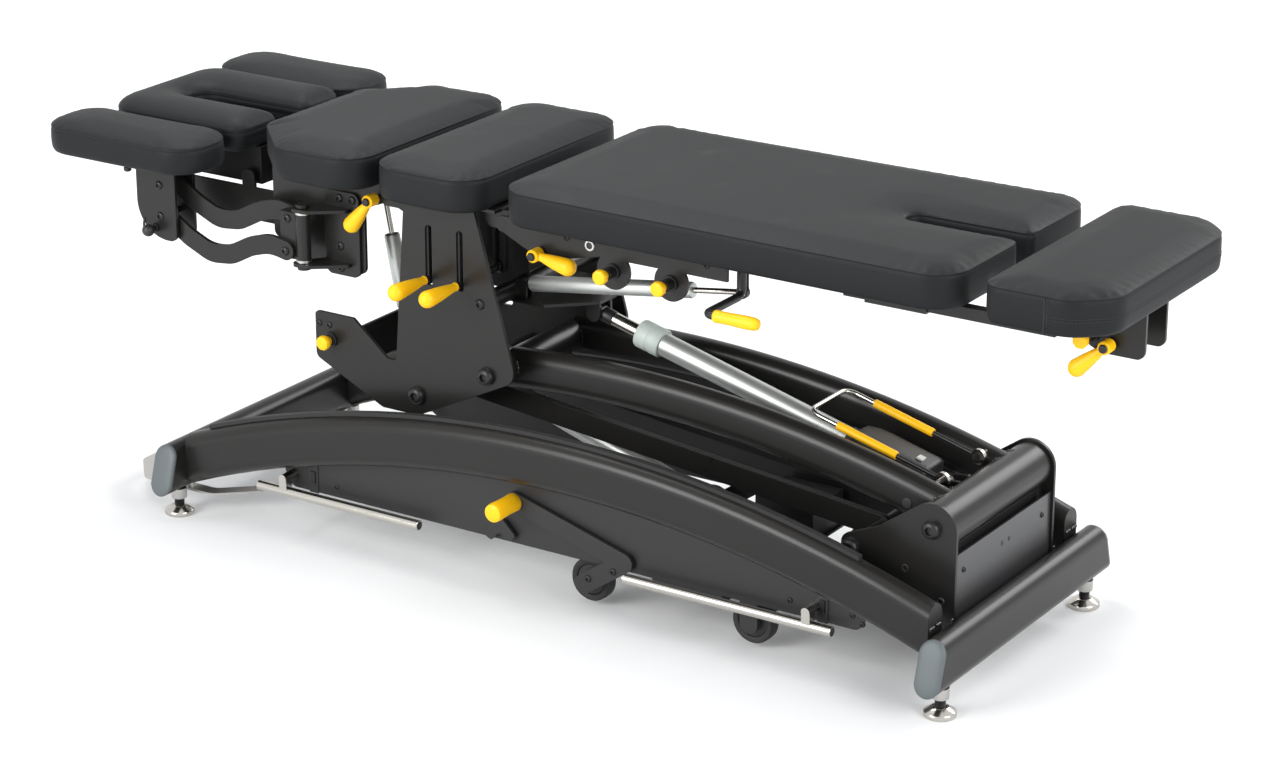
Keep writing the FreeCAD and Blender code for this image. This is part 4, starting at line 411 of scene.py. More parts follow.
class MeshBuilder:
    """Collects rings, boxes and tubes of several finishes into one mesh."""

    def __init__(self, *finishes: Finish) -> None:
        """Keep the finishes that faces refer to by number."""
        self.finishes = finishes
        self.points: list[Vector] = []
        self.faces: list[tuple[int, ...]] = []
        self.slots: list[int] = []

    def rings(self, rings: Sequence[Sequence[Vector]], slot: int = 0, ends: bool = True) -> None:
        """Skin a row of closed rings with equal counts.

        Args:
            rings: rings of points, in order.
            slot: number of the finish.
            ends: whether the first and last ring are closed by a face.
        """
        start = len(self.points)
        count = len(rings[0])
        for ring in rings:
            self.points.extend(ring)
        for row in range(len(rings) - 1):
            base = start + row * count
            for index in range(count):
                following = (index + 1) % count
                face = (base + index, base + following, base + count + following, base + count + index)
                self.put(face, slot)
        if ends:
            last = start + (len(rings) - 1) * count
            self.put(tuple(reversed(range(start, start + count))), slot)
            self.put(tuple(range(last, last + count)), slot)

    def put(self, face: tuple[int, ...], slot: int) -> None:
        """Add one face of a finish."""
        self.faces.append(face)
        self.slots.append(slot)

    def lathe(self, place: Matrix, profile: Iterable[Spot], slot: int = 0, count: int = 28, ends: bool = True,
              trim: Callable[[float, float], float] | None = None) -> None:
        """Turn a profile about the local Z axis of a frame.

        Args:
            place: frame of the piece.
            profile: radius and height pairs in millimetres, from the lower end to the upper end.
            slot: number of the finish.
            count: number of points in a ring.
            ends: whether the first and last ring are closed by a face.
            trim: share of a radius that stays at an angle, for flutes and flats.
        """
        rings = []
        for radius, height in profile:
            ring = []
            for angle in around(count):
                spread = max(radius, LEAST_RADIUS) * (trim(radius, angle) if trim else 1.0) * MM
                ring.append(place @ Vector((spread * math.cos(angle), spread * math.sin(angle), height * MM)))
            rings.append(ring)
        self.rings(rings, slot, ends)

    def washer(self, place: Matrix, inner: float, outer: float, start: float, stop: float, slot: int = 0,
               edge: float = 0.8) -> None:
        """Ring with softened rims about a local Z axis.

        Args:
            place: frame of the ring.
            inner: inner radius in millimetres.
            outer: outer radius in millimetres.
            start: lower level in millimetres.
            stop: upper level in millimetres.
            slot: number of the finish.
            edge: size of the softened rims in millimetres.
        """
        profile = [(inner, start), (outer - edge, start), (outer, start + edge), (outer, stop - edge),
                   (outer - edge, stop), (inner, stop), (inner, start)]
        self.lathe(place, profile, slot, ends=False)

    def tube(self, route: Sequence[Vector], radius: float, slot: int, count: int) -> None:
        """Round bar along a route.

        Args:
            route: points of the middle line, in metres.
            radius: radius in millimetres.
            slot: number of the finish.
            count: number of points in a ring.
        """
        rings = []
        side = None
        for index, point in enumerate(route):
            before = route[max(index - 1, 0)]
            after = route[min(index + 1, len(route) - 1)]
            ahead = (after - before).normalized()
            side = ahead.orthogonal() if side is None else side - ahead * side.dot(ahead)
            side.normalize()
            up = ahead.cross(side)
            rings.append([point + (side * math.cos(angle) + up * math.sin(angle)) * radius * MM
                          for angle in around(count)])
        self.rings(rings, slot)

    def slab(self, place: Matrix, outline: Sequence[Spot], height: float, slot: int,
             edge: float = 1.0) -> None:
        """Flat piece with softened rims.

        Args:
            place: frame whose local XY plane holds the outline.
            outline: counterclockwise points in millimetres.
            height: thickness in millimetres.
            slot: number of the finish.
            edge: size of the softened rim in millimetres.
        """
        middle = np.mean(np.array(outline), axis=0)
        reach = np.abs(np.array(outline) - middle).max()
        shrink = 1.0 - edge / reach
        rings = []
        for level, share in ((0.0, shrink), (edge, 1.0), (height - edge, 1.0), (height, shrink)):
            ring = []
            for u, v in outline:
                spot = middle + (np.array((u, v)) - middle) * share
                ring.append(place @ Vector((spot[0] * MM, spot[1] * MM, level * MM)))
            rings.append(ring)
        self.rings(rings, slot)

    def piece(self, name: str, body: str, *replaced: str, slot: str = "",
              angle: float = 38.0) -> bpy.types.Object:
        """Finish the mesh and let it ride on a body.

        Args:
            name: name of the piece.
            body: body that carries it.
            replaced: solids that it stands for.
            slot: not used.
            angle: edges sharper than this stay sharp, in degrees.

        Returns:
            The new object.
        """
        mesh = bpy.data.meshes.new(name)
        mesh.from_pydata([tuple(point) for point in self.points], [], self.faces)
        for finish in self.finishes:
            mesh.materials.append(finish.material())
        mesh.polygons.foreach_set("material_index", self.slots)
        mesh.polygons.foreach_set("use_smooth", [True] * len(self.faces))
        mesh.validate()
        mesh.set_sharp_from_angle(angle=math.radians(angle))
        item = bpy.data.objects.new(name, mesh)
        bpy.context.scene.collection.objects.link(item)
        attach(item, body)
        if replaced:
            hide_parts(*replaced)
        LOG.info("%s rides on %s", name, body)
        return item


class FrameCoat:
    """Finishes of the solids that show as they are."""

    finishes: dict[str, Finish] = {
        "side_panels": PANEL_PAINT,
        "rear_cover": COVER_PAINT,
        "control_box": BLACK_PLASTIC,
        "safety_strips": RUBBER,
        "end_hoop": STEEL,
        "foot_bars_front": CHROME,
        "foot_bars_rear": CHROME,
        "wheel_pedals": PANEL_PAINT,
        "pedal_latches": PANEL_PAINT,
    }

    def dress(self) -> None:
        """Give every solid its finish; those not named are painted like the frame."""
        for name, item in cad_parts.items():
            finish = self.finishes.get(name, FRAME_PAINT)
            for holder in item.material_slots:
                holder.material = finish.material()
        LOG.info("%d solids coated", len(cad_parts))


@dataclass
class Outline:
    """Closed rounded polygon, counterclockwise from above, in millimetres."""

    corners: list[Point]
    step: float = 7.0

    def trace(self) -> np.ndarray:
        """Evenly spaced points along the outline."""
        points: list[np.ndarray] = []
        count = len(self.corners)
        for index, (x, y, radius) in enumerate(self.corners):
            spot = np.array((x, y), float)
            back = np.array(self.corners[index - 1][:2]) - spot
            ahead = np.array(self.corners[(index + 1) % count][:2]) - spot
            back /= np.linalg.norm(back)
            ahead /= np.linalg.norm(ahead)
            half = math.acos(np.clip(back @ ahead, -1, 1)) / 2
            middle = (back + ahead) / np.linalg.norm(back + ahead)
            centre = spot + middle * radius / math.sin(half)
            first = spot + back * radius / math.tan(half)
            last = spot + ahead * radius / math.tan(half)
            start = math.atan2(*(first - centre)[::-1])
            sweep = math.atan2(*(last - centre)[::-1]) - start
            sweep = (sweep + math.pi) % (2 * math.pi) - math.pi
            if points:
                self.run(points, first)
            number = max(3, round(abs(sweep) * radius / self.step))
            for share in np.linspace(0, 1, number + 1):
                angle = start + sweep * share
                points.append(centre + radius * np.array((math.cos(angle), math.sin(angle))))
        self.run(points, points[0])
        return np.array(points)

    def run(self, points: list[np.ndarray], target: np.ndarray) -> None:
        """Add the inner points of a straight run from the last point to a target."""
        start = points[-1]
        number = round(np.linalg.norm(target - start) / self.step)
        for index in range(1, number):
            points.append(start + (target - start) * index / number)


@dataclass
class PadPlan:
    """One padded section: its outline, its body, how wide its top rolls and how its side is sewn."""

    node: str
    body: str
    outline: Outline
    seed: float
    roll: float = 34.0
    drop: float = 14.0
    joins: list[Spot] = field(default_factory=list)
    bands: list[Spot] = field(default_factory=list)


@dataclass
class Upholstery:
    """Padded sections: drawn-in foot, sewn edge, rolled and crowned top, swollen by a cloth simulation."""

    corner: float = 62.0
    grid: float = 10.5
    crown: float = 2.4
    crown_length: float = 60.0
    pucker: float = 0.7
    pucker_pitch: float = 23.0
    pucker_drift: float = 91.0
    pucker_line: float = 9.0
    sag: float = 0.8
    sag_lengths: Point = (83.0, 71.0, 47.0)
    stitch_pitch: float = 6.5
    stitch_length: float = 4.4
    stitch_radius: float = 0.45
    stitch_sides: int = 5
    edge_row: Spot = (2.6, 1.2)
    band_inset: float = -0.3
    join_radius: float = 0.9
    join_step: float = 5.0
    join_foot: float = 4.0
    roll_insets: tuple[float, ...] = (0.8, 2.4, 5.0, 8.4)
    sewn_rings: tuple[int, ...] = (0, 1, 2, 7, 8, 9, 10)
    row_share: float = 0.866
    frames: int = 14
    cloth_quality: int = 6
    cloth_mass: float = 0.4
    cloth_stiffness: float = 25.0
    cloth_bending: float = 0.8
    pressure: float = 4.0
    cap: float = 4.0

    def plans(self) -> list[PadPlan]:
        """Sections of the table with their outlines."""
        corner = self.corner
        slot, face = 22.0, 36.0
        main = [(-83.5, -240, corner), (768.5, -246, corner), (768.5, -slot, slot / 2),
                (558.5, -slot, slot - 0.5)]
        head = [(-1006.5, -150, corner), (-693.5, -150, corner / 2), (-693.5, -face, face / 2),
                (-926.5, -face, face - 0.5)]
        chest = [(-651.5, -128, 40), (-541.5, -238, corner), (-373.5, -238, corner)]
        leaf = [(816.5, -245, corner / 2), (968.5, -245, corner), (1023.5, -190, corner)]
        mid = [(-351.5, -238, corner), (-133.5, -238, corner)]
        rest = [(-1023.5, -310, corner), (-685.5, -310, corner), (-685.5, -162, corner),
                (-1023.5, -162, corner)]
        far = [(x, -y, radius) for x, y, radius in rest[::-1]]
        joins = [(925.0, -245.0), (925.0, 245.0)]
        bands = [(25.0, 925.0), (30.0, 925.0)]
        return [
            PadPlan("leg_pad", "leg", self.mirrored(main), 0.0),
            PadPlan("head_pad", "head", self.mirrored(head), 1.7, 48.0, 28.0),
            PadPlan("chest_pad", "chest", self.mirrored(chest), 3.1, 38.0, 16.0),
            PadPlan("mid_pad", "column", self.mirrored(mid), 4.6, 36.0, 15.0),
            PadPlan("leaf_pad", "leaf", self.mirrored(leaf), 5.2, 30.0, 12.0, joins, bands),
            PadPlan("armrest_pad_near", "armrest_carrier_near", Outline(rest), 6.9, 42.0, 18.0),
            PadPlan("armrest_pad_far", "armrest_carrier_far", Outline(far), 8.3, 42.0, 18.0),
        ]

    @staticmethod
    def mirrored(near: list[Point]) -> Outline:
        """Outline closed by the mirror image of its near half."""
        return Outline(near + [(x, -y, radius) for x, y, radius in near[::-1]])

    def build(self) -> None:
        """Make every section."""
        for plan in self.plans():
            self.section(plan)

    @staticmethod
    def inward(points: np.ndarray) -> np.ndarray:
        """Unit normals that look into the outline."""
        ahead = np.roll(points, -1, axis=0) - np.roll(points, 1, axis=0)
        normals = np.stack((-ahead[:, 1], ahead[:, 0]), axis=1)
        return normals / np.linalg.norm(normals, axis=1)[:, None]

    @staticmethod
    def reach(spots: np.ndarray, edge: np.ndarray) -> tuple[np.ndarray, np.ndarray]:
        """Distance from each spot to the outline, and how far along the outline it lies.

        Args:
            spots: points inside the outline.
            edge: points of the outline.

        Returns:
            Distances and lengths along the outline, in millimetres.
        """
        run = np.roll(edge, -1, axis=0) - edge
        length = np.linalg.norm(run, axis=1)
        offset = spots[:, None, :] - edge[None, :, :]
        share = np.clip((offset * run[None]).sum(2) / (length ** 2)[None], 0, 1)
        gap = np.linalg.norm(offset - share[..., None] * run[None], axis=2)
        nearest = gap.argmin(1)
        rows = np.arange(len(spots))
        passed = np.concatenate(((0,), np.cumsum(length)))[nearest]
        return gap[rows, nearest], passed + share[rows, nearest] * length[nearest]

    @staticmethod
    def inside(spots: np.ndarray, edge: np.ndarray) -> np.ndarray:
        """Whether each spot lies within the outline."""
        x, y = spots[:, 0][:, None], spots[:, 1][:, None]
        start, stop = edge, np.roll(edge, -1, axis=0)
        crosses = (start[None, :, 1] > y) != (stop[None, :, 1] > y)
        rise = stop[:, 1] - start[:, 1]
        rise = np.where(rise == 0, 1e-9, rise)
        where = start[None, :, 0] + (y - start[None, :, 1]) * (stop[:, 0] - start[:, 0])[None] / rise[None]
        return (crosses & (x < where)).sum(1) % 2 == 1

    def top_height(self, spots: np.ndarray, edge: np.ndarray, plan: PadPlan) -> np.ndarray:
        """Height of the top cover over each spot, from the pad's highest level down.

        Args:
            spots: points of the top.
            edge: outline of the pad.
            plan: the pad.

        Returns:
            Heights in millimetres, zero or less.
        """
        gap, along = self.reach(spots, edge)
        run = np.clip(gap / plan.roll, 0, 1)
        level = plan.drop * (np.sqrt(1 - (1 - run) ** 2) - 1)
        level -= self.crown * np.exp(-gap / self.crown_length) * run
        drift = plan.seed + 1.4 * np.sin(along / self.pucker_drift)
        wave = 0.5 + 0.5 * np.sin(along / self.pucker_pitch * 2 * math.pi + drift)
        level -= self.pucker * wave * np.exp(-((gap - self.pucker_line) / self.pucker_line) ** 2)
        x, y = spots[:, 0], spots[:, 1]
        length, width, slant = self.sag_lengths
        swell = np.sin(x / length + plan.seed) * np.sin(y / width + 1.3 * plan.seed)
        swell += 0.5 * np.sin((x + y) / slant)
        return level - self.sag * (0.5 + 0.33 * swell) * run

    @staticmethod
    def side_levels(seam: float) -> list[Spot]:
        """Insets and heights of the side from its foot up to the seam, in millimetres."""
        return [(7.0, 0.0), (4.2, 1.6), (1.6, 6.0), (0.4, 13.0), (0.0, 22.0), (0.0, 0.62 * seam),
                (0.3, seam - 7.0), (0.9, seam - 2.2), (1.9, seam - 0.6), (1.9, seam + 0.3)]

    def section(self, plan: PadPlan) -> bpy.types.Object:
        """Build one padded section and put it in the place of its solid.

        Args:
            plan: the pad to build.

        Returns:
            The new object.
        """
        low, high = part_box(plan.node)
        base, thick = low.z / MM, (high.z - low.z) / MM
        edge = plan.outline.trace()
        normals = self.inward(edge)
        seam = thick - plan.drop
        skin = MeshBuilder(VINYL, THREAD)
        side = self.side_levels(seam)
        rings = [[mm(x, y, base + level) for x, y in edge + normals * inset] for inset, level in side]
        for inset in self.roll_insets:
            rim = edge + normals * inset
            heights = self.top_height(rim, edge, plan)
            rings.append([mm(x, y, base + thick + h) for (x, y), h in zip(rim, heights)])
        count = len(edge)
        skin.rings(rings, ends=False)
        skin.put(tuple(reversed(range(count))), 0)
        self.top(skin, rim, edge, plan, base + thick)
        sewn = [number for ring in self.sewn_rings for number in range(ring * count, (ring + 1) * count)]
        self.swell(skin, sewn)
        rise, inset = self.edge_row
        self.stitches(skin, edge, normals, base + seam + rise, inset)
        for height, start in plan.bands:
            self.stitches(skin, edge, normals, base + height, self.band_inset, start)
        for x, y in plan.joins:
            self.join_seam(skin, x, y, base, seam)
        item = skin.piece(plan.node + "_cover", plan.body, plan.node, slot="vinyl", angle=70.0)
        return item

    def swell(self, skin: MeshBuilder, sewn: list[int]) -> None:
        """Let the cover bulge between its seams by a short cloth simulation.

        Args:
            skin: mesh of the cover so far; its points are moved.
            sewn: numbers of the points that the seams and the base board hold.
        """
        scene = bpy.context.scene
        mesh = bpy.data.meshes.new("cover_under_pressure")
        mesh.from_pydata([tuple(point) for point in skin.points], [], skin.faces)
        item = bpy.data.objects.new("cover_under_pressure", mesh)
        scene.collection.objects.link(item)
        item.vertex_groups.new(name="sewn").add(sewn, 1.0, "REPLACE")
        settings = item.modifiers.new("cover", "CLOTH").settings
        settings.quality = self.cloth_quality
        settings.mass = self.cloth_mass
        settings.tension_stiffness = self.cloth_stiffness
        settings.compression_stiffness = self.cloth_stiffness
        settings.bending_stiffness = self.cloth_bending
        settings.use_pressure = True
        settings.uniform_pressure_force = self.pressure
        settings.effector_weights.gravity = 0.0
        settings.vertex_group_mass = "sewn"
        for number in range(1, self.frames + 1):
            scene.frame_set(number)
        bulged = item.evaluated_get(bpy.context.evaluated_depsgraph_get())
        for index, vertex in enumerate(bulged.data.vertices):
            shift = vertex.co - skin.points[index]
            if shift.length > self.cap * MM:
                shift *= self.cap * MM / shift.length
            skin.points[index] = skin.points[index] + shift
        scene.frame_set(1)
        bpy.data.objects.remove(item)
        bpy.data.meshes.remove(mesh)

    def top(self, skin: MeshBuilder, rim: np.ndarray, edge: np.ndarray, plan: PadPlan, height: float) -> None:
        """Close the top cover by an even net of triangles.

        Args:
            skin: mesh whose last ring is the rim.
            rim: points of the last ring.
            edge: outline of the pad.
            plan: the pad.
            height: highest level in millimetres.
        """
        first = len(skin.points) - len(rim)
        low, high = rim.min(0), rim.max(0)
        rows = np.arange(low[1], high[1], self.grid * self.row_share)
        spots = []
        for index, y in enumerate(rows):
            shift = self.grid / 2 if index % 2 else 0.0
            for x in np.arange(low[0] + shift, high[0], self.grid):
                spots.append((x, y))
        net = np.array(spots)
        net = net[self.inside(net, rim)]
        net = net[self.reach(net, rim)[0] > self.grid * 0.5]
        heights = self.top_height(net, edge, plan)
        start = len(skin.points)
        skin.points.extend(mm(x, y, height + h) for (x, y), h in zip(net, heights))
        flat = [Vector(p) for p in np.concatenate((rim, net))]
        border = [(i, (i + 1) % len(rim)) for i in range(len(rim))]
        _, _, faces, origin, _, _ = delaunay_2d_cdt(flat, border, [], 1, 1e-4)
        places = [first + s[0] if s[0] < len(rim) else start + s[0] - len(rim) for s in origin]
        for face in faces:
            skin.put(tuple(places[i] for i in face), 0)

    def stitches(self, skin: MeshBuilder, edge: np.ndarray, normals: np.ndarray, level: float, inset: float,
                 beyond: float = -math.inf) -> None:
        """Row of stitches round the side.

        Args:
            skin: mesh to add to.
            edge: outline of the pad.
            normals: inward normals of the outline.
            level: height of the row in millimetres.
            inset: how far the row lies inside the outline.
            beyond: least x of the row, where it doesn't go all the way round.
        """
        line = edge + normals * inset
        closed = np.concatenate((line, line[:1]))
        travelled = np.concatenate(((0,), np.cumsum(np.linalg.norm(np.diff(closed, axis=0), axis=1))))
        for start in np.arange(0, travelled[-1], self.stitch_pitch):
            ends = []
            for at in (start, start + self.stitch_length):
                x = np.interp(at, travelled, closed[:, 0])
                y = np.interp(at, travelled, closed[:, 1])
                ends.append(mm(x, y, level))
            if ends[0].x > beyond * MM:
                skin.tube(ends, self.stitch_radius, 1, self.stitch_sides)

    def join_seam(self, skin: MeshBuilder, x: float, y: float, base: float, seam: float) -> None:
        """Upright seam on the side, with a row of stitches next to it.

        Args:
            skin: mesh to add to.
            x: place of the seam in millimetres.
            y: side face that it lies on.
            base: height of the pad's foot.
            seam: height of the edge seam above the foot.
        """
        skin.tube([mm(x, y, base + self.join_foot), mm(x, y, base + seam)], self.join_radius, 1, 6)
        beside = x + self.join_step
        for at in np.arange(self.join_foot + 2, seam - self.join_foot, self.stitch_pitch):
            ends = [mm(beside, y, base + level) for level in (at, at + self.stitch_length)]
            skin.tube(ends, self.stitch_radius, 1, self.stitch_sides)


@dataclass
class HandControls:
    """Levers, handles, knobs, the crank and the bail that a hand works."""

    eye: float = 11.0
    pin: float = 5.05
    neck: float = 6.0
    neck_lip: float = 1.2
    neck_bead: float = 1.8
    fat: float = 15.0
    drop: float = 72.0
    swell_shares: tuple[float, ...] = (0.12, 0.3, 0.5, 0.7, 0.86, 1.0)
    belly_share: float = 0.10
    grip_points: int = 36
    lock_levers: tuple[tuple[str, float], ...] = (("lock_lever_a", -264.5), ("lock_lever_b", -199.5))
    lever_pivot: Spot = (-60.0, 518.0)
    lever_eye_half: float = 6.0
    lever_grip: Spot = (132.0, 95.0)
    blade_thick_half: float = 2.4
    blade_halves: Point = (5.6, 5.2, 4.6)
    blade_section: Spots = (
        (-1, -0.9), (-0.8, -1), (0.8, -1), (1, -0.9), (1, 0.9), (0.8, 1), (-0.8, 1), (-1, 0.9),
    )
    handles: tuple[tuple[str, Point, int, float], ...] = (
        ("chest_handle", (-388.5, -162.5, 634.0), -1, 50.0),
        ("leg_handle", (-31.5, -184.5, 605.0), 1, 9.0),
        ("leaf_lever", (942.5, -44.5, 590.0), -1, 42.0),
    )
    handle_width: float = 24.0
    handle_rim: float = 2.0
    handle_nut: Spots = ((7.0, 25.2), (7.4, 26.0), (6.2, 28.5), (2.0, 29.0))
    plungers: tuple[tuple[str, str, Point, float], ...] = (
        ("column_plunger", "column", (-480.5, -178.0, 366.0), 8.0),
        ("leg_plunger_a", "leg", (111.5, -180.0, 598.0), 24.0),
        ("leg_plunger_b", "leg", (223.5, -180.0, 598.0), 24.0),
        ("leaf_plunger", "leaf", (908.5, -40.0, 600.0), 24.0),
    )
    knob: Spot = (13.0, 20.0)
    knob_gap: float = 0.5
    knob_points: int = 48
    flutes: int = 8
    flute_share: float = 0.05
    flute_from: float = 9.0
    stem: float = 5.0
    stem_depth: float = 6.0
    sleeve_bore: float = 5.3
    sleeve: float = 10.4
    sleeve_gap: float = 0.2
    sleeve_nut: Spot = (13.5, 5.6)
    crank_spot: Point = (340.5, -150.0, 590.0)
    crank_top: float = 660.0
    crank_reach: float = 112.0
    crank_step: float = 18.0
    crank_bend: float = 14.0
    crank_rod: float = 7.0
    crank_lap: float = 2.0
    crank_grip: Spots = (
        (7.2, 0.0), (9.6, 0.0), (10.4, 1.5), (10.6, 6.0), (10.0, 12.0), (10.2, 30.0), (11.0, 50.0),
        (11.0, 66.0), (10.4, 74.0), (8.6, 79.5), (5.0, 82.0), (0.0, 82.0),
    )
    bail_pivot: Spot = (668.5, 312.0)
    bail_tip: Spot = (418.5, 380.0)
    bail_half: float = 62.0
    bail_bend: float = 20.0
    bail_wire: float = 4.0
    bail_boss: float = 5.0
    bail_sleeve: Spot = (88.0, 115.0)
    bail_lap: float = 1.0
    bail_sleeve_radii: Point = (4.1, 6.6, 7.2)
    bail_sleeve_rim: float = 1.5

    def build(self) -> None:
        """Make all controls."""
        for name, x in self.lock_levers:
            self.lever(name, x)
        for name, face, side, tilt in self.handles:
            self.handle(name, mm(*face), self.dip(side, tilt))
        for name, parent, face, height in self.plungers:
            self.plunger(name, parent, mm(*face), height)
        self.crank()
        self.bail()

    @staticmethod
    def dip(side: int, tilt: float) -> Vector:
        """Direction towards a side that dips by a tilt in degrees."""
        angle = math.radians(tilt)
        return Vector((side * math.cos(angle), 0, -math.sin(angle)))

    def grip_profile(self, start: float, length: float) -> list[Spot]:
        """Half section of a drop-shaped grip with a bead at its neck."""
        lip, bead = self.neck + self.neck_lip, self.neck + self.neck_bead
        profile = [(0, start), (lip, start), (bead, start + 1.5), (lip, start + 3)]
        straight = length - self.fat
        for share in self.swell_shares:
            fullness = share + self.belly_share * math.sin(math.pi * share)
            swell = self.neck + (self.fat - self.neck) * fullness
            profile.append((min(swell, self.fat), start + straight * share))
        for turn in QUARTER_TURN:
            profile.append((self.fat * math.cos(turn), start + straight + self.fat * math.sin(turn)))
        return profile

    def lever(self, name: str, x: float) -> None:
        """Lock lever through a slot of the column: a flat blade with a drop-shaped grip."""
        mesh = MeshBuilder(BLACK_STEEL, YELLOW)
        pivot = mm(x, *self.lever_pivot)
        place = aim(pivot, NEAR)
        mesh.washer(aim(pivot, FOOTWARD), self.pin, self.eye, -self.lever_eye_half, self.lever_eye_half)
        start, length = self.lever_grip
        rings = []
        for reach, half in zip((self.eye - 2, start * 0.5, start + 2), self.blade_halves):
            rings.append([place @ (Vector((u * self.blade_thick_half, v * half, reach)) * MM)
                          for u, v in self.blade_section])
        mesh.rings(rings)
        mesh.lathe(place, self.grip_profile(start, length), 1, self.grip_points)
        mesh.piece(name + "_dressed", name, name, slot="yellow_plastic")

    def handle(self, name: str, face: Vector, direction: Vector) -> None:
        """Drop-shaped release handle on a pin across the table.

        Args:
            name: node and body of the handle.
            face: middle of the eye's inner face.
            direction: way the grip points.
        """
        mesh = MeshBuilder(YELLOW, BLACK_STEEL)
        place = aim(face, NEAR)
        mesh.washer(place, self.pin, self.eye, 0, self.handle_width, edge=self.handle_rim)
        middle = face + mm(0, -self.handle_width / 2, 0)
        mesh.lathe(aim(middle, direction), self.grip_profile(self.eye - 3, self.drop), 0, self.grip_points)
        mesh.lathe(place, self.handle_nut, 1)
        mesh.piece(name + "_dressed", name, name, slot="yellow_plastic")

    def flute(self, radius: float, angle: float) -> float:
        """Share of a knob's radius that its finger flutes leave at an angle."""
        if radius <= self.flute_from:
            return 1.0
        return 1 - self.flute_share * max(0.0, math.cos(self.flutes * angle))

    def plunger(self, name: str, parent: str, face: Vector, height: float) -> None:
        """Pull knob with finger flutes over its dark guide sleeve.

        Args:
            name: node and body of the knob.
            parent: body of the sleeve.
            face: point on the face that the sleeve stands on.
            height: length of the sleeve in millimetres.
        """
        mesh = MeshBuilder(YELLOW, CHROME)
        radius, length = self.knob
        place = aim(face, NEAR)
        start = height + self.knob_gap
        mesh.lathe(place, [(self.stem, -self.stem_depth), (self.stem, start)], 1)
        shape = [(0.1, 0), (7.6, 0), (8.4, 1.2), (9.6, 5.5), (radius - 0.6, 9.0), (radius, 11.0),
                 (radius, length - 3), (radius - 1.2, length - 0.8), (radius - 3.2, length),
                 (0.1, length + 0.4)]
        profile = [(reach, start + level) for reach, level in shape]
        mesh.lathe(place, profile, 0, self.knob_points, trim=self.flute)
        mesh.piece(name + "_dressed", name, name, slot="yellow_plastic")
        sleeve = MeshBuilder(BLACK_STEEL)
        sleeve.washer(place, self.sleeve_bore, self.sleeve, self.sleeve_gap, height - self.sleeve_gap)
        nut, nut_height = self.sleeve_nut
        sleeve.washer(place, self.sleeve_bore, nut, 0.0, nut_height)
        sleeve.piece(name + "_sleeve", parent)

    def crank(self) -> None:
        """Bent rod with a ringed grip under the leg pad."""
        mesh = MeshBuilder(BLACK_STEEL, YELLOW)
        x, y, z = self.crank_spot
        end, start, bend = y - self.crank_reach, x + self.crank_step, self.crank_bend
        route = [mm(x, y, self.crank_top), mm(x, y, z + bend)]
        for turn in QUARTER_TURN:
            route.append(mm(x, y - bend * (1 - math.cos(turn)), z + bend * (1 - math.sin(turn))))
        for turn in [0.0] + QUARTER_TURN:
            route.append(mm(x + bend * (1 - math.cos(turn)), end + bend * (1 - math.sin(turn)), z))
        route.append(mm(start + self.crank_lap, end, z))
        mesh.tube(route, self.crank_rod, 0, 20)
        mesh.lathe(aim(mm(start, end, z), FOOTWARD), self.crank_grip, 1, 32)
        mesh.piece("leg_crank_dressed", "leg_crank", "leg_crank", slot="yellow_plastic")

    def bail(self) -> None:
        """Safety bail: a bent bright wire between two eyes, with a soft sleeve on each leg."""
        mesh = MeshBuilder(CHROME, YELLOW, BLACK_STEEL)
        pivot, tip, half = self.bail_pivot, self.bail_tip, self.bail_half
        wire, boss, bend = self.bail_wire, self.bail_boss, self.bail_bend
        ahead = Vector((tip[0] - pivot[0], 0, tip[1] - pivot[1])).normalized()
        start, length = self.bail_sleeve
        wire_start = start + self.bail_lap
        corner = mm(tip[0], -half, tip[1])
        route = [mm(pivot[0], -half, pivot[1]) + ahead * wire_start * MM, corner - ahead * bend * MM]
        centre = corner - ahead * bend * MM + mm(0, bend, 0)
        for turn in QUARTER_TURN:
            route.append(centre + (NEAR * math.cos(turn) + ahead * math.sin(turn)) * bend * MM)
        route += [Vector((p.x, -p.y, p.z)) for p in route[::-1]]
        mesh.tube(route, wire, 0, 16)
        bore, lip, outside = self.bail_sleeve_radii
        rim = self.bail_sleeve_rim
        profile = [(bore, 0), (lip, 0), (outside, rim), (outside, length - rim), (lip, length),
                   (bore, length)]
        for side, _ in SIDES:
            eye = mm(pivot[0], side * half, pivot[1])
            mesh.washer(aim(eye, FAR), boss + 0.05, boss + 2 * wire, -wire, wire)
            mesh.tube([eye + ahead * (boss + wire) * MM, eye + ahead * wire_start * MM], wire, 2, 16)
            mesh.lathe(aim(eye + ahead * start * MM, ahead), profile, 1, 24)
        mesh.piece("safety_bail_dressed", "safety_bail", "safety_bail", slot="yellow_plastic")


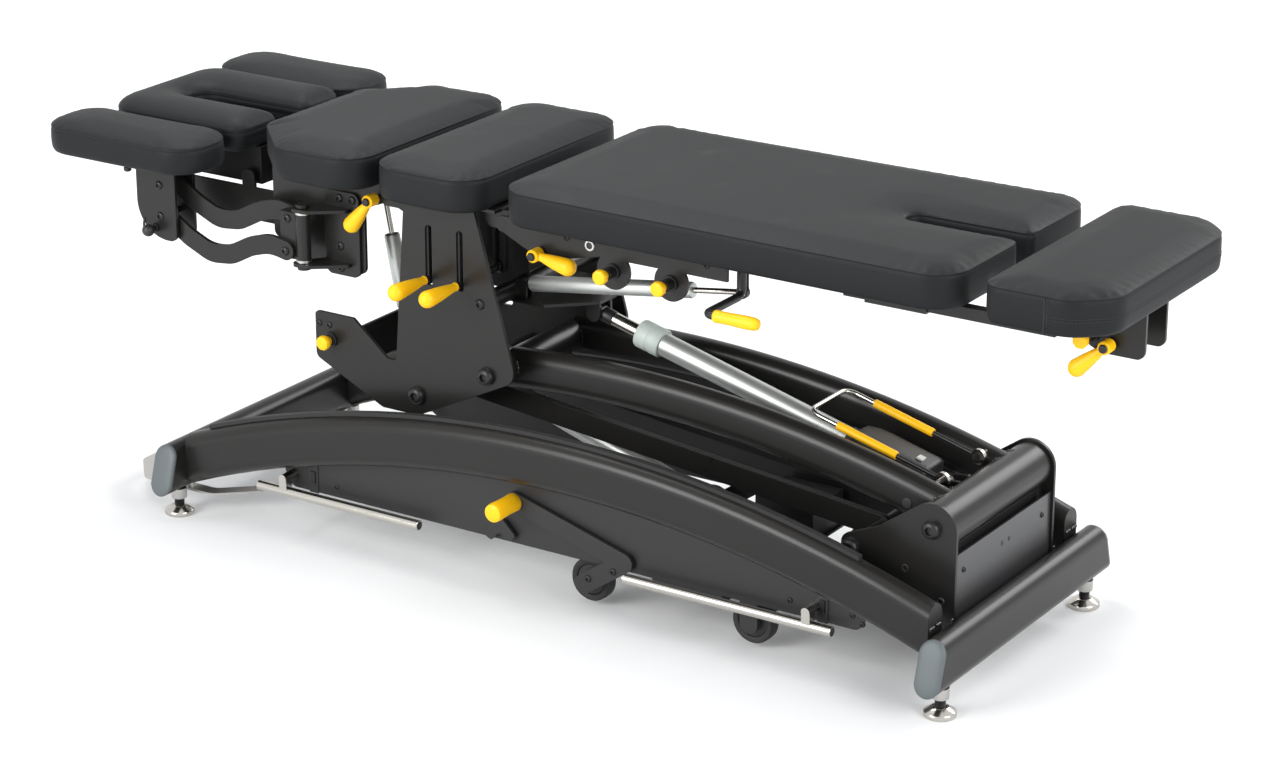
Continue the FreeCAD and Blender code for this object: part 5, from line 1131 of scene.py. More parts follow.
@dataclass
class Drives:
    """Linear actuators and gas springs; levels run from the foot pivot towards the tip."""

    tube: float = 20.0
    rod: float = 12.0
    rod_bore: float = 12.3
    eye: float = 21.0
    eye_half: float = 13.0
    eye_neck: float = 12.0
    neck_start: float = 18.0
    upper_pin: float = 8.6
    lower_pin: float = 8.05
    upper_ends: tuple[Vector, Vector] = (mm(640.5, 0, 270), mm(-36.5, 0, 450))
    lower_ends: tuple[Vector, Vector] = (mm(323.5, 0, 98), mm(-294.5, 0, 300))
    upper_tube: Spot = (176.0, 567.0)
    upper_ring: Spots = ((22.5, 174.0), (22.5, 186.0), (20.6, 188.0))
    upper_collar: Spots = (
        (20.0, 564.0), (24.0, 564.0), (25.0, 565.5), (25.0, 583.0), (24.2, 584.0), (24.2, 588.0),
        (25.0, 589.0), (25.0, 609.0), (23.5, 612.0),
    )
    upper_rod_start: float = 412.0
    upper_rod_end: float = 34.0
    upper_tip_bore: float = 10.2
    upper_tip: float = 14.0
    motor_half: Spot = (38.0, 33.0)
    motor_levels: Spots = (
        (26, 0.86), (28, 0.94), (34, 1.0), (128, 1.0), (150, 0.97), (170, 0.86), (175, 0.72), (176, 0.62),
    )
    motor_squareness: int = 5
    motor_points: int = 48
    plug_spot: Spot = (52.0, -8.0)
    plug_half: Spot = (7.0, 6.0)
    plug_sunk: float = 0.6
    plug_height: float = 4.6
    lower_motor: Spots = (
        (22.0, 34.0), (24.4, 36.0), (25.0, 39.0), (25.0, 148.0), (24.0, 153.0), (20.5, 154.0),
    )
    lower_tube: Point = (152.0, 498.0, 504.0)
    lower_rod_start: float = 304.0
    lower_rod_end: float = 26.0
    lower_tip: Spot = (23.0, 30.0)
    springs: tuple[tuple[str, float, Spot, Spot, float], ...] = (
        ("leg_gas", -75.0, (-139.5, 503.0), (296.5, 566.0), 345.0),
        ("chest_gas", -60.0, (-403.5, 390.0), (-445.5, 604.0), 150.0),
    )
    gas: float = 14.0
    gas_rod: float = 5.0
    gas_bore: float = 5.2
    gas_eye: float = 11.0
    gas_eye_half: float = 6.0
    gas_pins: Spot = (5.05, 8.0)
    gas_sunk: float = 80.0

    def build(self) -> None:
        """Make all drives."""
        self.upper()
        self.lower()
        for spring in self.springs:
            self.gas_spring(*spring)

    def upper(self) -> None:
        """Actuator between the arms and the column, with its motor housing."""
        start, end = self.upper_ends
        place = aim(start, end - start)
        total = (end - start).length / MM
        mesh = MeshBuilder(BLACK_PLASTIC, SILVER, PALE_PLASTIC, BLACK_STEEL, WHITE_PLASTIC)
        mesh.washer(aim(start, FAR), self.upper_pin, self.eye, -self.eye_half, self.eye_half, 3)
        mesh.lathe(place, [(self.eye_neck, self.neck_start), (self.eye_neck, self.motor_levels[1][0])], 3)
        self.housing(mesh, start, end)
        mesh.lathe(place, self.upper_ring, 0)
        mesh.lathe(place, [(self.tube, level) for level in self.upper_tube], 1, 40)
        mesh.lathe(place, self.upper_collar + ((self.rod_bore, self.upper_collar[-1][1]),), 2, 40)
        mesh.piece("upper_actuator_dressed", "upper_actuator", "upper_actuator", slot="silver")
        bar = MeshBuilder(CHROME, BLACK_STEEL)
        rod, stop = self.rod, total - self.upper_rod_end
        bar.lathe(place, [(rod, self.upper_rod_start), (rod, stop), (rod - 1, stop + 1)], 0, 32)
        bar.lathe(place, [(rod + 0.6, stop), (rod + 1.2, stop + 1), (rod + 1.2, total - 12)], 1)
        bar.washer(aim(end, FAR), self.upper_tip_bore, self.upper_tip, -self.eye_half, self.eye_half, 1)
        bar.piece("upper_actuator_rod_dressed", "upper_actuator_rod", "upper_actuator_rod", slot="chrome")

    def housing(self, mesh: MeshBuilder, start: Vector, end: Vector) -> None:
        """Rounded motor housing about the actuator's axis, with a plug on its upper face.

        Args:
            mesh: mesh to add to.
            start: foot pivot of the actuator.
            end: tip pivot of the actuator.
        """
        ahead = (end - start).normalized()
        up = ahead.cross(FAR).normalized()
        if up.z < 0:
            up.negate()
        half_width, half_height = self.motor_half
        power = self.motor_squareness
        rings = []
        for level, share in self.motor_levels:
            ring = []
            for angle in around(self.motor_points):
                c, s = math.cos(angle), math.sin(angle)
                scale = (abs(c) ** power + abs(s) ** power) ** (-1 / power)
                spot = FAR * c * scale * half_width * share - up * s * scale * half_height * share
                ring.append(start + ahead * level * MM + spot * MM)
            rings.append(ring)
        mesh.rings(rings)
        level, y = self.plug_spot
        foot = start + ahead * level * MM + up * (half_height - self.plug_sunk) * MM + FAR * y * MM
        mesh.slab(aim(foot, up), block(*self.plug_half), self.plug_height, 4)

    def lower(self) -> None:
        """Actuator between the tray and the column."""
        start, end = self.lower_ends
        place = aim(start, end - start)
        total = (end - start).length / MM
        mesh = MeshBuilder(SILVER, BLACK_PLASTIC, BLACK_STEEL)
        mesh.washer(aim(start, FAR), self.lower_pin, self.eye, -self.eye_half, self.eye_half, 2)
        mesh.lathe(place, [(self.eye_neck, self.neck_start), (self.eye_neck, self.lower_motor[1][1])], 2)
        mesh.lathe(place, self.lower_motor, 1, 36)
        foot, rim, top = self.lower_tube
        body = [(self.tube, foot), (self.tube, rim), (self.tube - 1, top), (self.rod_bore, top)]
        mesh.lathe(place, body, 0, 36)
        mesh.piece("lower_actuator_dressed", "lower_actuator", "lower_actuator", slot="silver")
        bar = MeshBuilder(CHROME, BLACK_STEEL)
        bar.lathe(place, [(self.rod, self.lower_rod_start), (self.rod, total - self.lower_rod_end)], 0, 32)
        bore, outside = self.lower_tip
        bar.washer(aim(end, FAR), bore, outside, -self.eye_half, self.eye_half, 1)
        bar.piece("lower_actuator_rod_dressed", "lower_actuator_rod", "lower_actuator_rod", slot="chrome")

    def gas_spring(self, name: str, y: float, first: Spot, last: Spot, length: float) -> None:
        """Gas spring between two pivots.

        Args:
            name: start of its nodes' names.
            y: place across the table in millimetres.
            first: x and z of the tube's eye.
            last: x and z of the rod's eye.
            length: reach of the tube from its eye.
        """
        start, end = mm(first[0], y, first[1]), mm(last[0], y, last[1])
        place = aim(start, end - start)
        total = (end - start).length / MM
        foot_pin, tip_pin = self.gas_pins
        half, body, rod = self.gas_eye_half, self.gas, self.gas_rod
        tube = MeshBuilder(SILVER, BLACK_STEEL)
        tube.washer(aim(start, FAR), foot_pin, self.gas_eye, -half, half, 1)
        tube.lathe(place, [(rod, 8), (rod, 17)], 1)
        profile = [(8, 16), (body - 1.5, 16.5), (body, 19), (body, length - 4), (body - 1.2, length - 1),
                   (body - 4, length), (self.gas_bore, length)]
        tube.lathe(place, profile, 0, 36)
        tube.piece(name + "_tube_dressed", name + "_tube", name + "_tube", slot="silver")
        bar = MeshBuilder(CHROME, BLACK_STEEL)
        bar.lathe(place, [(rod, length - self.gas_sunk), (rod, total - 8)], 0, 24)
        bar.washer(aim(end, FAR), tip_pin, self.gas_eye, -half, half, 1)
        bar.piece(name + "_rod_dressed", name + "_rod", name + "_rod", slot="chrome")


@dataclass
class BaseDress:
    """Feet, end caps, pedals, wheels and bar-end rims of the base, with dark discs in the bar ends as painted
    shade.
    """

    feet_x: Spot = (-779.5, 778.5)
    foot_y: float = 256.0
    foot_disc: Spots = ((25.5, 0.0), (27.0, 1.5), (27.0, 7.5), (25.8, 9.2), (15.0, 16.0), (13.5, 17.0))
    thread_radii: Spot = (9.0, 8.2)
    thread_pitch: float = 1.5
    thread_turns: int = 9
    thread_ends: Spot = (17.0, 31.0)
    foot_sleeve: Spots = ((11.0, 30.0), (13.4, 30.4), (14.0, 32.0), (14.0, 49.0))
    tube_half: float = 23.0
    tube_tall: float = 45.0
    tube_z: float = 94.0
    cap_y: float = 292.0
    cap_slant: float = 14.0
    cap_levels: Spots = ((0.0, 1.0), (4.0, 1.0), (5.6, 0.965), (7.0, 0.88), (8.2, 0.66), (8.8, 0.34))
    cap_points: int = 48
    pedal_grip: Point = (-61.5, 226.0, 168.0)
    grip_sleeve: Spots = (
        (15.2, -0.6), (15.8, -0.6), (16.6, 1.0), (15.9, 12.0), (15.7, 26.0), (16.1, 40.0), (16.7, 50.0),
        (16.6, 57.0), (15.6, 62.2), (12.6, 64.2), (6.0, 65.2), (0.0, 65.4),
    )
    wheel_spots: tuple[tuple[str, float], ...] = (("front_wheels", 78.5), ("rear_wheels", 398.5))
    wheel_y: float = 191.0
    wheel_z: float = 49.0
    tyre: Spots = (
        (27.0, -11.0), (30.0, -13.0), (36.0, -12.6), (38.6, -9.0), (39.0, 0.0), (38.6, 9.0), (36.0, 12.6),
        (30.0, 13.0), (27.0, 11.0), (27.0, -11.0),
    )
    tyre_points: int = 56
    axle_bore: float = 8.06
    wheel_disc: Spot = (27.2, 10.0)
    wheel_hub: Spot = (13.0, 13.0)
    bar_ends: tuple[tuple[str, float, float], ...] = (("foot_bars_front", -601.5, -251.5),
                                                      ("foot_bars_rear", 174.5, 570.5))
    bar_y: float = 242.0
    bar_z: float = 88.0
    plug_sunk: float = 1.5
    plug_rim: Point = (7.2, 9.3, 3.0)
    # Dark disc in each hollow bar end: painted shade for the inside of the tube.
    hollow_shade_disc: Spots = ((7.3, 0.4), (7.3, 1.9), (6.2, 2.1))

    def build(self) -> None:
        """Make all dressed pieces of the base."""
        self.feet()
        self.caps()
        self.pedals()
        self.wheels()
        self.rims_and_shade_discs()

    def feet(self) -> None:
        """Levelling feet: a bright disc on a threaded neck under a brushed sleeve."""
        mesh = MeshBuilder(CHROME, STEEL, BLACK_STEEL)
        crest, root = self.thread_radii
        low, high = self.thread_ends
        thread = []
        for index in range(self.thread_turns):
            level = low + index * self.thread_pitch
            thread += [(crest, level), (root, level + self.thread_pitch / 2)]
        for x in self.feet_x:
            for side, _ in SIDES:
                place = aim(mm(x, side * self.foot_y, 0), UP)
                mesh.lathe(place, self.foot_disc, 0, 40)
                mesh.lathe(place, thread + [(crest, high)], 2)
                mesh.lathe(place, self.foot_sleeve, 1, 32)
        mesh.piece("levelling_feet_dressed", "base", "levelling_feet", slot="chrome")

    def caps(self) -> None:
        """Slanted end caps with a softly bulged face."""
        mesh = MeshBuilder(CAP_PLASTIC)
        for x in self.feet_x:
            for side, _ in SIDES:
                rings = []
                for depth, share in self.cap_levels:
                    ring = []
                    for angle in around(self.cap_points):
                        u = math.cos(angle) * self.tube_half * share
                        v = math.sin(angle) * self.tube_half * share
                        v += math.copysign(self.tube_tall - self.tube_half, math.sin(angle)) * share
                        y = self.cap_y - self.cap_slant * v / self.tube_tall
                        ring.append(mm(x + u, side * (y + depth), self.tube_z + v))
                    rings.append(ring if side > 0 else ring[::-1])
                mesh.rings(rings)
        mesh.piece("end_caps_dressed", "base", "end_caps", slot="cap_plastic", angle=50)

    def pedals(self) -> None:
        """Soft sleeves with a rounded end on the grips of the wheel lever."""
        mesh = MeshBuilder(YELLOW)
        x, y, z = self.pedal_grip
        for side, out in SIDES:
            mesh.lathe(aim(mm(x, side * y, z), out), self.grip_sleeve, 0, 36)
        mesh.piece("pedal_grips", "wheel_pedals", slot="yellow_plastic")

    def wheels(self) -> None:
        """Tyres on flanged hubs."""
        for name, x in self.wheel_spots:
            mesh = MeshBuilder(RUBBER, BLACK_PLASTIC)
            for side, _ in SIDES:
                place = aim(mm(x, side * self.wheel_y, self.wheel_z), FAR)
                mesh.lathe(place, self.tyre, 0, self.tyre_points, ends=False)
                for (radius, half), edge in ((self.wheel_disc, 1.5), (self.wheel_hub, 1.0)):
                    mesh.washer(place, self.axle_bore, radius, -half, half, 1, edge)
            mesh.piece(name + "_dressed", name, name, slot="rubber")

    def rims_and_shade_discs(self) -> None:
        """Rolled rims at the ends of the foot bars, with dark discs in them as painted shade for the hollow
        tube ends.
        """
        bore, outside, height = self.plug_rim
        for name, *ends in self.bar_ends:
            mesh = MeshBuilder(CHROME, BLACK_PLASTIC)
            for x, way in zip(ends, (-1, 1)):
                for side, _ in SIDES:
                    middle = mm(x - way * self.plug_sunk, side * self.bar_y, self.bar_z)
                    place = aim(middle, Vector((way, 0, 0)))
                    mesh.washer(place, bore, outside, 0, height, 0, 0.7)
                    # Painted shade: a dark disc inside the rolled rim stands in for the shaded hollow of the
                    # tube.
                    mesh.lathe(place, self.hollow_shade_disc, 1, 24)
            mesh.piece(name + "_plugs", name)


@dataclass
class Fittings:
    """Bolts, screws, weld beads, grommets and clips of the frame; a spot on a side face is x and z."""

    shaft_head: float = 5.0
    shaft_bolt: float = 15.5
    small_screw: float = 5.0
    head_shape: Spots = (
        (1.0, -0.4), (1.0, 0.10), (0.93, 0.26), (0.78, 0.42), (0.56, 0.50), (0.50, 0.50), (0.46, 0.14),
        (0.05, 0.10),
    )
    socket_share: float = 0.5
    head_points: int = 24
    bead_pitch: float = 1.6
    bead_points: int = 10
    bead_scale: Spot = (0.82, 0.18)
    base_bead: float = 3.4
    bracket_bead_radius: float = 3.2
    arm_bead_radii: Spot = (2.6, 2.8)
    screw_radius: float = 6.0
    dark_sheet_height: float = 3.0
    bracket_face: float = 174.0
    bracket_shafts: Spots = ((711.5, 274.0), (564.5, 211.0))
    bracket_screws: Spots = ((731.0, 155.0),)
    bracket_screw: float = 7.0
    bracket_grommet: Spot = (664.8, 197.0)
    grommet: Point = (3.4, 7.0, 1.6)
    panel_face: float = 215.0
    panel_screws: Spots = ((-449.6, 107.0), (477.2, 111.0), (594.0, 112.0), (612.0, 100.0))
    windows: Spots = ((-500.0, 113.0), (539.0, 113.0))
    window_half: Spot = (10.0, 27.0)
    window_latch: Point = (5.0, 14.0, -8.0)
    window_heights: Spot = (1.6, 4.0)
    window_edge: float = 0.8
    tube_beads_x: Spot = (755.0, -756.0)
    tube_beads_y: Spots = ((-258.0, -240.0), (-236.0, -219.0))
    tube_beads_z: float = 141.0
    bracket_bead: Point = (754.0, 178.5, 112.0)
    bracket_bead_length: float = 22.0
    cover_face: float = 750.5
    cover_screws: Spots = ((-137.0, 201.0), (137.0, 201.0))
    cover_plugs: Spots = ((-4.7, 200.0), (20.0, 200.0))
    cover_plug: Spots = ((4.2, -0.2), (4.2, 0.3), (3.4, 0.4))
    # Black sheet set back behind the rear cover: painted shade for the recess under the rear tube.
    gap_shade_sheet: Point = (726.0, 0.0, 195.0)
    gap_shade_sheet_half: Spot = (160.0, 41.0)
    box_sockets: tuple[Point, ...] = ((243.0, 118.0, 135.6), (318.0, 112.0, 135.6))
    box_socket_half: Spot = (9.0, 6.0)
    box_socket_height: float = 5.0
    arm_face: float = 121.0
    arm_middle: float = 98.0
    arm_half: float = 22.0
    arm_plug: Spot = (636.5, 284.0)
    arm_plug_shape: Spots = ((9.0, -1.0), (9.0, 0.8), (8.2, 1.5), (3.0, 1.8))
    arm_rear_bead: Spots = ((676.5, 291.0), (684.0, 301.0), (694.0, 308.0), (704.0, 311.5))
    arm_front_bead: Spots = ((-126.0, 378.0), (-123.0, 366.0), (-124.5, 352.0))
    column_face: float = 178.0
    column_shafts: Spots = ((-147.5, 363.0), (-294.5, 300.0))
    column_bolts: Spots = ((-160.0, 489.5),)
    column_bolt: float = 9.5
    column_screws: Spots = ((-505.8, 392.0), (-484.0, 392.0))
    slots_x: Spot = (-264.5, -199.5)
    slot_z: float = 558.5
    lip_x: float = 5.4
    lip_depth: float = 12.0
    lip_half: Spot = (2.1, 8.0)
    lip_length: float = 54.0
    lip_edge: float = 0.4
    backing: Point = (-232.0, -32.0, 545.0)
    backing_half: float = 75.0
    column_strip: Point = (-275.0, -190.0, 655.0)
    column_strip_half: Spot = (48.0, 14.0)
    mount_face: float = 156.0
    mount_bolt: float = 7.5
    mount_bolts: Spots = ((-471.0, 533.0), (-471.0, 493.0), (-471.0, 620.0), (-443.0, 620.0))
    leg_face: float = 180.0
    leg_ring: Spot = (66.0, 634.0)
    leg_ring_radii: Spot = (6.0, 9.5)
    leg_ring_levels: Spot = (-1.0, 2.2)
    leg_ring_plug: Spots = ((6.1, -1.0), (6.1, 0.6), (4.0, 0.8))
    leg_screws: Spots = ((20.0, 640.0), (292.0, 640.0))
    leg_strip: Point = (-30.0, -192.0, 655.0)
    leg_strip_half: Spot = (42.0, 12.0)
    strip_height: float = 4.0
    lever_face: float = 226.0
    lever_bolts: Spots = ((89.6, 62.0), (140.0, 86.0))
    latch_face: float = 222.0
    latch_bolts: Spots = ((-96.6, 107.0),)
    pedal_bolt: float = 6.5
    post_bolts: tuple[Point, ...] = ((-549.5, 212.0, 525.0), (-549.5, 203.0, 582.0))
    post_rings: tuple[Point, ...] = ((-521.5, 195.0, 507.0), (-521.5, 195.0, 594.0))
    post_ring_radii: Spot = (12.5, 13.6)
    post_ring_levels: Spot = (-1.0, 4.0)
    carrier_face: float = 222.0
    carrier_bolts: Spots = ((-821.5, 545.0), (-821.5, 602.0))
    armrest_bolt: float = 8.0
    ball: Point = (-833.5, 242.0, 522.0)
    ball_radius: float = 11.3
    ball_collar: Point = (5.1, 8.0, 5.0)
    ball_slot_radius: float = 27.0
    ball_slot_bead: float = 2.2
    clamp_screw: Point = (-912.0, 200.0, 648.0)
    clamp_shape: Spots = (
        (4, -2), (4, 14), (10, 15), (11, 17), (11, 22), (10, 24), (4, 25), (4, 31), (7, 33), (7, 38),
        (5, 40),
    )

    def build(self) -> None:
        """Make all fittings, body by body."""
        self.base()
        self.arms()
        self.column()
        self.chest()
        self.leg()
        self.pedals()
        for (side, out), word in zip(SIDES, ("near", "far")):
            self.armrest(side, out, word)

    def bolt(self, mesh: MeshBuilder, spot: Vector, direction: Vector, radius: float) -> None:
        """Button-headed bolt with a hexagon socket, in the first finish.

        Args:
            mesh: mesh to add to.
            spot: middle of the head's seat.
            direction: way the head looks.
            radius: radius of the head in millimetres.
        """
        def socket(reach: float, angle: float) -> float:
            """Share of a reach that the flats of the socket leave at an angle."""
            if reach > self.socket_share * radius:
                return 1.0
            return math.cos(math.pi / 6) / math.cos(angle % (math.pi / 3) - math.pi / 6)

        profile = [(share * radius, rise * radius) for share, rise in self.head_shape]
        mesh.lathe(aim(spot, direction), profile, 0, self.head_points, trim=socket)

    def bolts(self, mesh: MeshBuilder, spots: Iterable[Spot], face: float, side: int, radius: float) -> None:
        """Bolts on a face that looks sideways.

        Args:
            mesh: mesh to add to.
            spots: x and z of each bolt.
            face: distance of the face from the table's middle.
            side: minus one for the near side, one for the far side.
            radius: radius of the heads in millimetres.
        """
        for x, z in spots:
            self.bolt(mesh, mm(x, side * face, z), Vector((0, side, 0)), radius)

    def bead(self, mesh: MeshBuilder, route: Sequence[Vector], radius: float, slot: int) -> None:
        """Weld bead with scales along a route.

        Args:
            mesh: mesh to add to.
            route: corner points of its middle line, in metres.
            radius: radius in millimetres.
            slot: number of the finish.
        """
        rings = []
        least, swing = self.bead_scale
        for start, stop in zip(route, route[1:]):
            steps = max(4, round((stop - start).length / MM / self.bead_pitch))
            ahead = (stop - start).normalized()
            side = ahead.orthogonal().normalized()
            up = ahead.cross(side)
            for index in range(steps):
                spread = radius * (least + swing * math.cos(math.pi * (index % 3) / 1.5)) * MM
                middle = start.lerp(stop, index / steps)
                rings.append([middle + (side * math.cos(angle) + up * math.sin(angle)) * spread
                              for angle in around(self.bead_points)])
        mesh.rings(rings, slot)

    def base(self) -> None:
        """Pivot bolts, cover screws, panel screws, latch windows and weld beads of the base, and a black
        sheet behind the rear cover as painted shade for the gap under the rear tube.
        """
        mesh = MeshBuilder(BLACK_STEEL, BLACK_PLASTIC, WELD, WHITE_PLASTIC)
        for side, out in SIDES:
            face = self.bracket_face
            self.bolts(mesh, self.bracket_shafts, face + self.shaft_head, side, self.shaft_bolt)
            self.bolts(mesh, self.bracket_screws, face, side, self.bracket_screw)
            x, z = self.bracket_grommet
            bore, outside, height = self.grommet
            mesh.washer(aim(mm(x, side * face, z), out), bore, outside, 0, height, 1, 0.6)
            self.bolts(mesh, self.panel_screws, self.panel_face, side, self.small_screw)
            for x, z in self.windows:
                window = aim(mm(x, side * self.panel_face, z), out)
                rim, latch = self.window_heights
                mesh.slab(window, block(*self.window_half), rim, 1, self.window_edge)
                mesh.slab(window, block(*self.window_latch), latch, 0, self.window_edge)
            for start, stop in self.tube_beads_y:
                for x in self.tube_beads_x:
                    route = [mm(x, -side * y, self.tube_beads_z) for y in (start, stop)]
                    self.bead(mesh, route, self.base_bead, 2)
            x, y, z = self.bracket_bead
            route = [mm(x, side * y, level) for level in (z, z + self.bracket_bead_length)]
            self.bead(mesh, route, self.bracket_bead_radius, 2)
        for y, z in self.cover_screws:
            self.bolt(mesh, mm(self.cover_face, y, z), FOOTWARD, self.small_screw)
        for y, z in self.cover_plugs:
            mesh.lathe(aim(mm(self.cover_face, y, z), FOOTWARD), self.cover_plug, 1)
        # Painted shade: a black sheet fills the gap between the rear cover and the rear tube, standing in for
        # the shaded recess.
        mesh.slab(aim(mm(*self.gap_shade_sheet), FOOTWARD), block(*self.gap_shade_sheet_half), self.dark_sheet_height, 1)
        for spot in self.box_sockets:
            mesh.slab(aim(mm(*spot), UP), block(*self.box_socket_half), self.box_socket_height, 3)
        mesh.piece("base_fittings", "base")

    def arms(self) -> None:
        """Plugs and weld beads of the lift arms."""
        mesh = MeshBuilder(BLACK_PLASTIC, WELD)
        for side, out in SIDES:
            x, z = self.arm_plug
            mesh.lathe(aim(mm(x, side * self.arm_face, z), out), self.arm_plug_shape, 0)
            for edge in (-self.arm_half, self.arm_half):
                y = side * self.arm_middle + edge
                for spots, radius in zip((self.arm_rear_bead, self.arm_front_bead), self.arm_bead_radii):
                    self.bead(mesh, [mm(x, y, z) for x, z in spots], radius, 1)
        mesh.piece("arm_fittings", "lift_arms")

    def column(self) -> None:
        """Pivot bolts of the column, the lips and dark backing of its slots and the strip under its pad."""
        mesh = MeshBuilder(BLACK_STEEL, RUBBER, STEEL)
        lip = block(*self.lip_half)
        for side, _ in SIDES:
            face = self.column_face
            self.bolts(mesh, self.column_shafts, face + self.shaft_head, side, self.shaft_bolt)
            self.bolts(mesh, self.column_bolts, face, side, self.column_bolt)
            self.bolts(mesh, self.column_screws, face, side, self.screw_radius)
            for x in self.slots_x:
                for edge in (-1, 1):
                    for drop in (0.0, self.lip_length):
                        spot = mm(x + edge * self.lip_x, side * (face - self.lip_depth), self.slot_z - drop)
                        mesh.slab(Matrix.Translation(spot), lip, self.lip_length, 1, self.lip_edge)
        backing = block(self.backing_half, self.backing_half)
        mesh.slab(aim(mm(*self.backing), NEAR), backing, self.dark_sheet_height, 1)
        mesh.slab(aim(mm(*self.column_strip), UP), block(*self.column_strip_half), self.strip_height, 2)
        mesh.piece("column_fittings", "column")

    def chest(self) -> None:
        """Bolts of the armrest mounts and of the chest frame."""
        mesh = MeshBuilder(BLACK_STEEL)
        for side, _ in SIDES:
            self.bolts(mesh, self.mount_bolts, self.mount_face, side, self.mount_bolt)
        mesh.piece("chest_fittings", "chest")

    def leg(self) -> None:
        """Ring plugs and screws of the leg frame and the strip under its pad."""
        mesh = MeshBuilder(BLACK_STEEL, STEEL, BLACK_PLASTIC)
        for side, out in SIDES:
            x, z = self.leg_ring
            place = aim(mm(x, side * self.leg_face, z), out)
            mesh.washer(place, *self.leg_ring_radii, *self.leg_ring_levels, 1)
            mesh.lathe(place, self.leg_ring_plug, 2)
            self.bolts(mesh, self.leg_screws, self.leg_face, side, self.screw_radius)
        mesh.slab(aim(mm(*self.leg_strip), UP), block(*self.leg_strip_half), self.strip_height, 1)
        mesh.piece("leg_fittings", "leg")

    def pedals(self) -> None:
        """Bolts on the arms of the wheel lever and on its latches."""
        arm = MeshBuilder(BLACK_STEEL)
        latch = MeshBuilder(BLACK_STEEL)
        for side, _ in SIDES:
            self.bolts(arm, self.lever_bolts, self.lever_face, side, self.pedal_bolt)
            self.bolts(latch, self.latch_bolts, self.latch_face, side, self.pedal_bolt)
        arm.piece("wheel_lever_bolts", "wheel_pedals")
        latch.piece("pedal_latch_bolts", "pedal_latches")

    def armrest(self, side: int, out: Vector, word: str) -> None:
        """Bolts of one armrest's links and carrier, with its ball knob and clamp screw.

        Args:
            side: minus one for the near armrest, one for the far one.
            out: way out of the table on that side.
            word: ending of the names of its bodies.
        """
        post = MeshBuilder(BLACK_STEEL, STEEL)
        for x, y, z in self.post_bolts:
            self.bolt(post, mm(x, side * y, z), out, self.armrest_bolt)
        for x, y, z in self.post_rings:
            place = aim(mm(x, side * y, z), UP)
            post.washer(place, *self.post_ring_radii, *self.post_ring_levels, 1, self.lip_edge)
        post.piece("armrest_post_fittings_" + word, "armrest_post_" + word)
        carrier = MeshBuilder(BLACK_STEEL, BLACK_PLASTIC, STEEL)
        face = self.carrier_face
        self.bolts(carrier, self.carrier_bolts, face, side, self.armrest_bolt)
        radius = self.ball_radius
        ball = [(0.1, -radius)]
        for angle in range(-75, 91, 15):
            turn = math.radians(angle)
            ball.append((radius * math.cos(turn), radius * math.sin(turn)))
        x, y, z = self.ball
        carrier.lathe(aim(mm(x, side * y, z), out), ball, 1, 32)
        bore, outside, height = self.ball_collar
        carrier.washer(aim(mm(x, side * face, z), out), bore, outside, 0, height)
        arc = []
        for index in range(9):
            angle = math.radians(-30 + index * 7.5)
            reach, rise = (self.ball_slot_radius * share for share in (math.cos(angle), math.sin(angle)))
            arc.append(mm(x - reach, side * (face + 0.2), z - rise))
        carrier.tube(arc, self.ball_slot_bead, 1, self.bead_points)
        x, y, z = self.clamp_screw
        carrier.lathe(aim(mm(x, side * y, z), DOWN), self.clamp_shape, 1, 24)
        carrier.piece("armrest_carrier_fittings_" + word, "armrest_carrier_" + word)


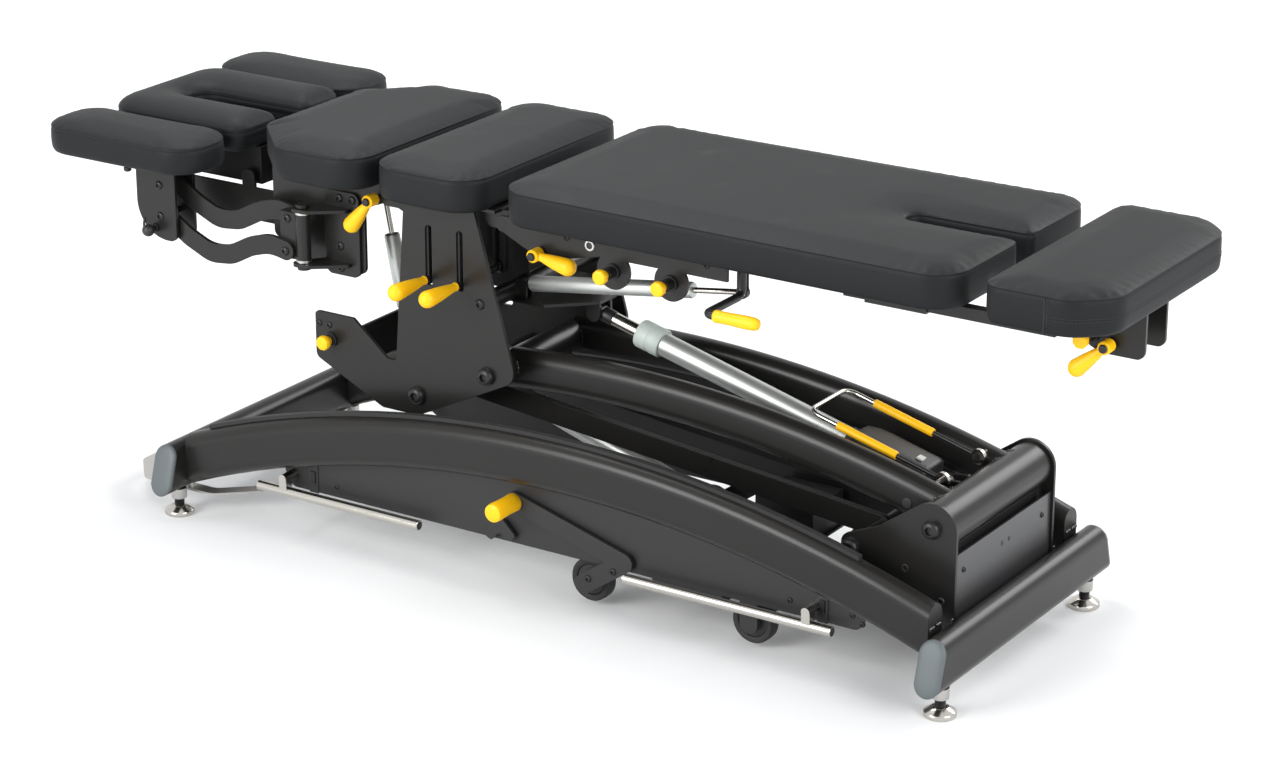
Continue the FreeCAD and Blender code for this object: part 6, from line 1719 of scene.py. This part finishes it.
@dataclass
class Studio:
    """Pale floor, soft light and the photograph's view."""

    eye: Point = (3.0871, -4.6795, 2.3712)
    azimuth: float = 33.01
    elevation: float = 20.07
    lens: float = 97.5
    sensor: float = 36.0
    clip: Spot = (0.1, 200.0)
    white: tuple[float, ...] = (1.0, 1.0, 1.0, 1.0)
    sky: tuple[float, ...] = (0.94, 0.97, 1.0, 1.0)
    sky_strength: float = 0.66
    floor_reach: float = 40.0
    floor_grey: tuple[float, ...] = (0.80, 0.80, 0.80, 1.0)
    floor_roughness: float = 0.9
    floor_specular: float = 0.1
    glow_reach: Spot = (1.2, 3.4)
    glow: Spot = (0.05, 0.5)
    lights: tuple[tuple[str, Point, Point, float, float], ...] = (
        ("key", (-1.0, 0.3, 2.9), (0, 0, 0.3), 1.6, 46),
        ("fill_front", (-1.4, -4.4, 2.1), (0, 0, 0.4), 2.4, 190),
        ("fill_right", (4.2, -0.8, 2.2), (0, 0, 0.4), 2.4, 110),
        ("back", (1.5, 3.3, 2.6), (0.2, 0, 0.4), 2.0, 75),
    )

    def build(self) -> None:
        """Set up the world, floor, lights and camera."""
        self.world()
        self.floor()
        for light in self.lights:
            self.light(*light)
        self.camera()
        bpy.context.scene.view_settings.view_transform = "Standard"

    def world(self) -> None:
        """White for the camera, soft grey for lighting."""
        world = bpy.data.worlds.new("studio")
        bpy.context.scene.world = world
        world.use_nodes = True
        kit = NodeKit(world.node_tree)
        soft = world.node_tree.nodes["Background"]
        soft.inputs["Color"].default_value = self.sky
        soft.inputs["Strength"].default_value = self.sky_strength
        white = kit.add("Background", Color=self.white, Strength=1.0)
        mix = kit.add("MixShader")
        kit.join(self.seen(kit), mix.inputs[0])
        kit.join(soft.outputs[0], mix.inputs[1])
        kit.join(white.outputs[0], mix.inputs[2])
        kit.join(mix.outputs[0], world.node_tree.nodes["World Output"].inputs[0])

    @staticmethod
    def seen(kit: NodeKit) -> bpy.types.NodeSocket:
        """One for rays that show the backdrop: to the camera, in a reflection or through glass."""
        path = kit.add("LightPath")
        direct = kit.maths("MAXIMUM", path.outputs["Is Camera Ray"], path.outputs["Is Glossy Ray"])
        return kit.maths("MAXIMUM", direct, path.outputs["Is Transmission Ray"])

    def floor(self) -> None:
        """Large pale floor that keeps the object's shadow."""
        mesh = bpy.data.meshes.new("studio_floor")
        corners = block(self.floor_reach, self.floor_reach)
        mesh.from_pydata([(x, y, 0) for x, y in corners], [], [tuple(range(len(corners)))])
        item = bpy.data.objects.new("studio_floor", mesh)
        bpy.context.scene.collection.objects.link(item)
        material = bpy.data.materials.new("pale_floor")
        material.use_nodes = True
        kit = NodeKit(material.node_tree)
        shader = material.node_tree.nodes["Principled BSDF"]
        shader.inputs["Base Color"].default_value = self.floor_grey
        shader.inputs["Roughness"].default_value = self.floor_roughness
        shader.inputs["Specular IOR Level"].default_value = self.floor_specular
        shader.inputs["Emission Color"].default_value = self.white
        place = kit.add("VectorMath", operation="LENGTH")
        kit.join(kit.add("TexCoord").outputs["Object"], place.inputs[0])
        (near, far), (low, high) = self.glow_reach, self.glow
        away = kit.add("MapRange", From_Min=near, From_Max=far, To_Min=low, To_Max=high)
        kit.join(place.outputs["Value"], away.inputs["Value"])
        kit.join(kit.maths("MULTIPLY", self.seen(kit), away.outputs[0]), shader.inputs["Emission Strength"])
        mesh.materials.append(material)

    @staticmethod
    def light(name: str, place: Point, target: Point, size: float, power: float) -> None:
        """Soft square light.

        Args:
            name: name of the light.
            place: position in metres.
            target: point that it faces.
            size: side length in metres.
            power: power in watts.
        """
        data = bpy.data.lights.new(name, "AREA")
        data.size = size
        data.energy = power
        item = bpy.data.objects.new(name, data)
        item.location = place
        item.rotation_mode = "QUATERNION"
        item.rotation_quaternion = (Vector(target) - Vector(place)).to_track_quat("-Z", "Y")
        bpy.context.scene.collection.objects.link(item)

    def camera(self) -> None:
        """Camera at the photograph's place and angle."""
        data = bpy.data.cameras.new("camera")
        data.lens = self.lens
        data.sensor_width = self.sensor
        data.sensor_fit = "HORIZONTAL"
        data.clip_start, data.clip_end = self.clip
        item = bpy.data.objects.new("camera", data)
        item.location = self.eye
        a, e = math.radians(self.azimuth), math.radians(self.elevation)
        ahead = Vector((-math.sin(a) * math.cos(e), math.cos(a) * math.cos(e), -math.sin(e)))
        item.rotation_mode = "QUATERNION"
        item.rotation_quaternion = ahead.to_track_quat("-Z", "Y")
        bpy.context.scene.collection.objects.link(item)
        bpy.context.scene.camera = item


def write_sizes() -> None:
    """Bring the view layer up to date."""
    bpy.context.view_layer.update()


def main() -> None:
    """Build the dressed table in order."""
    logging.basicConfig(level=logging.INFO, format="%(message)s")
    FrameCoat().dress()
    Upholstery().build()
    HandControls().build()
    Drives().build()
    BaseDress().build()
    Fittings().build()
    Studio().build()
    write_sizes()


if __name__ == "__main__":
    main()
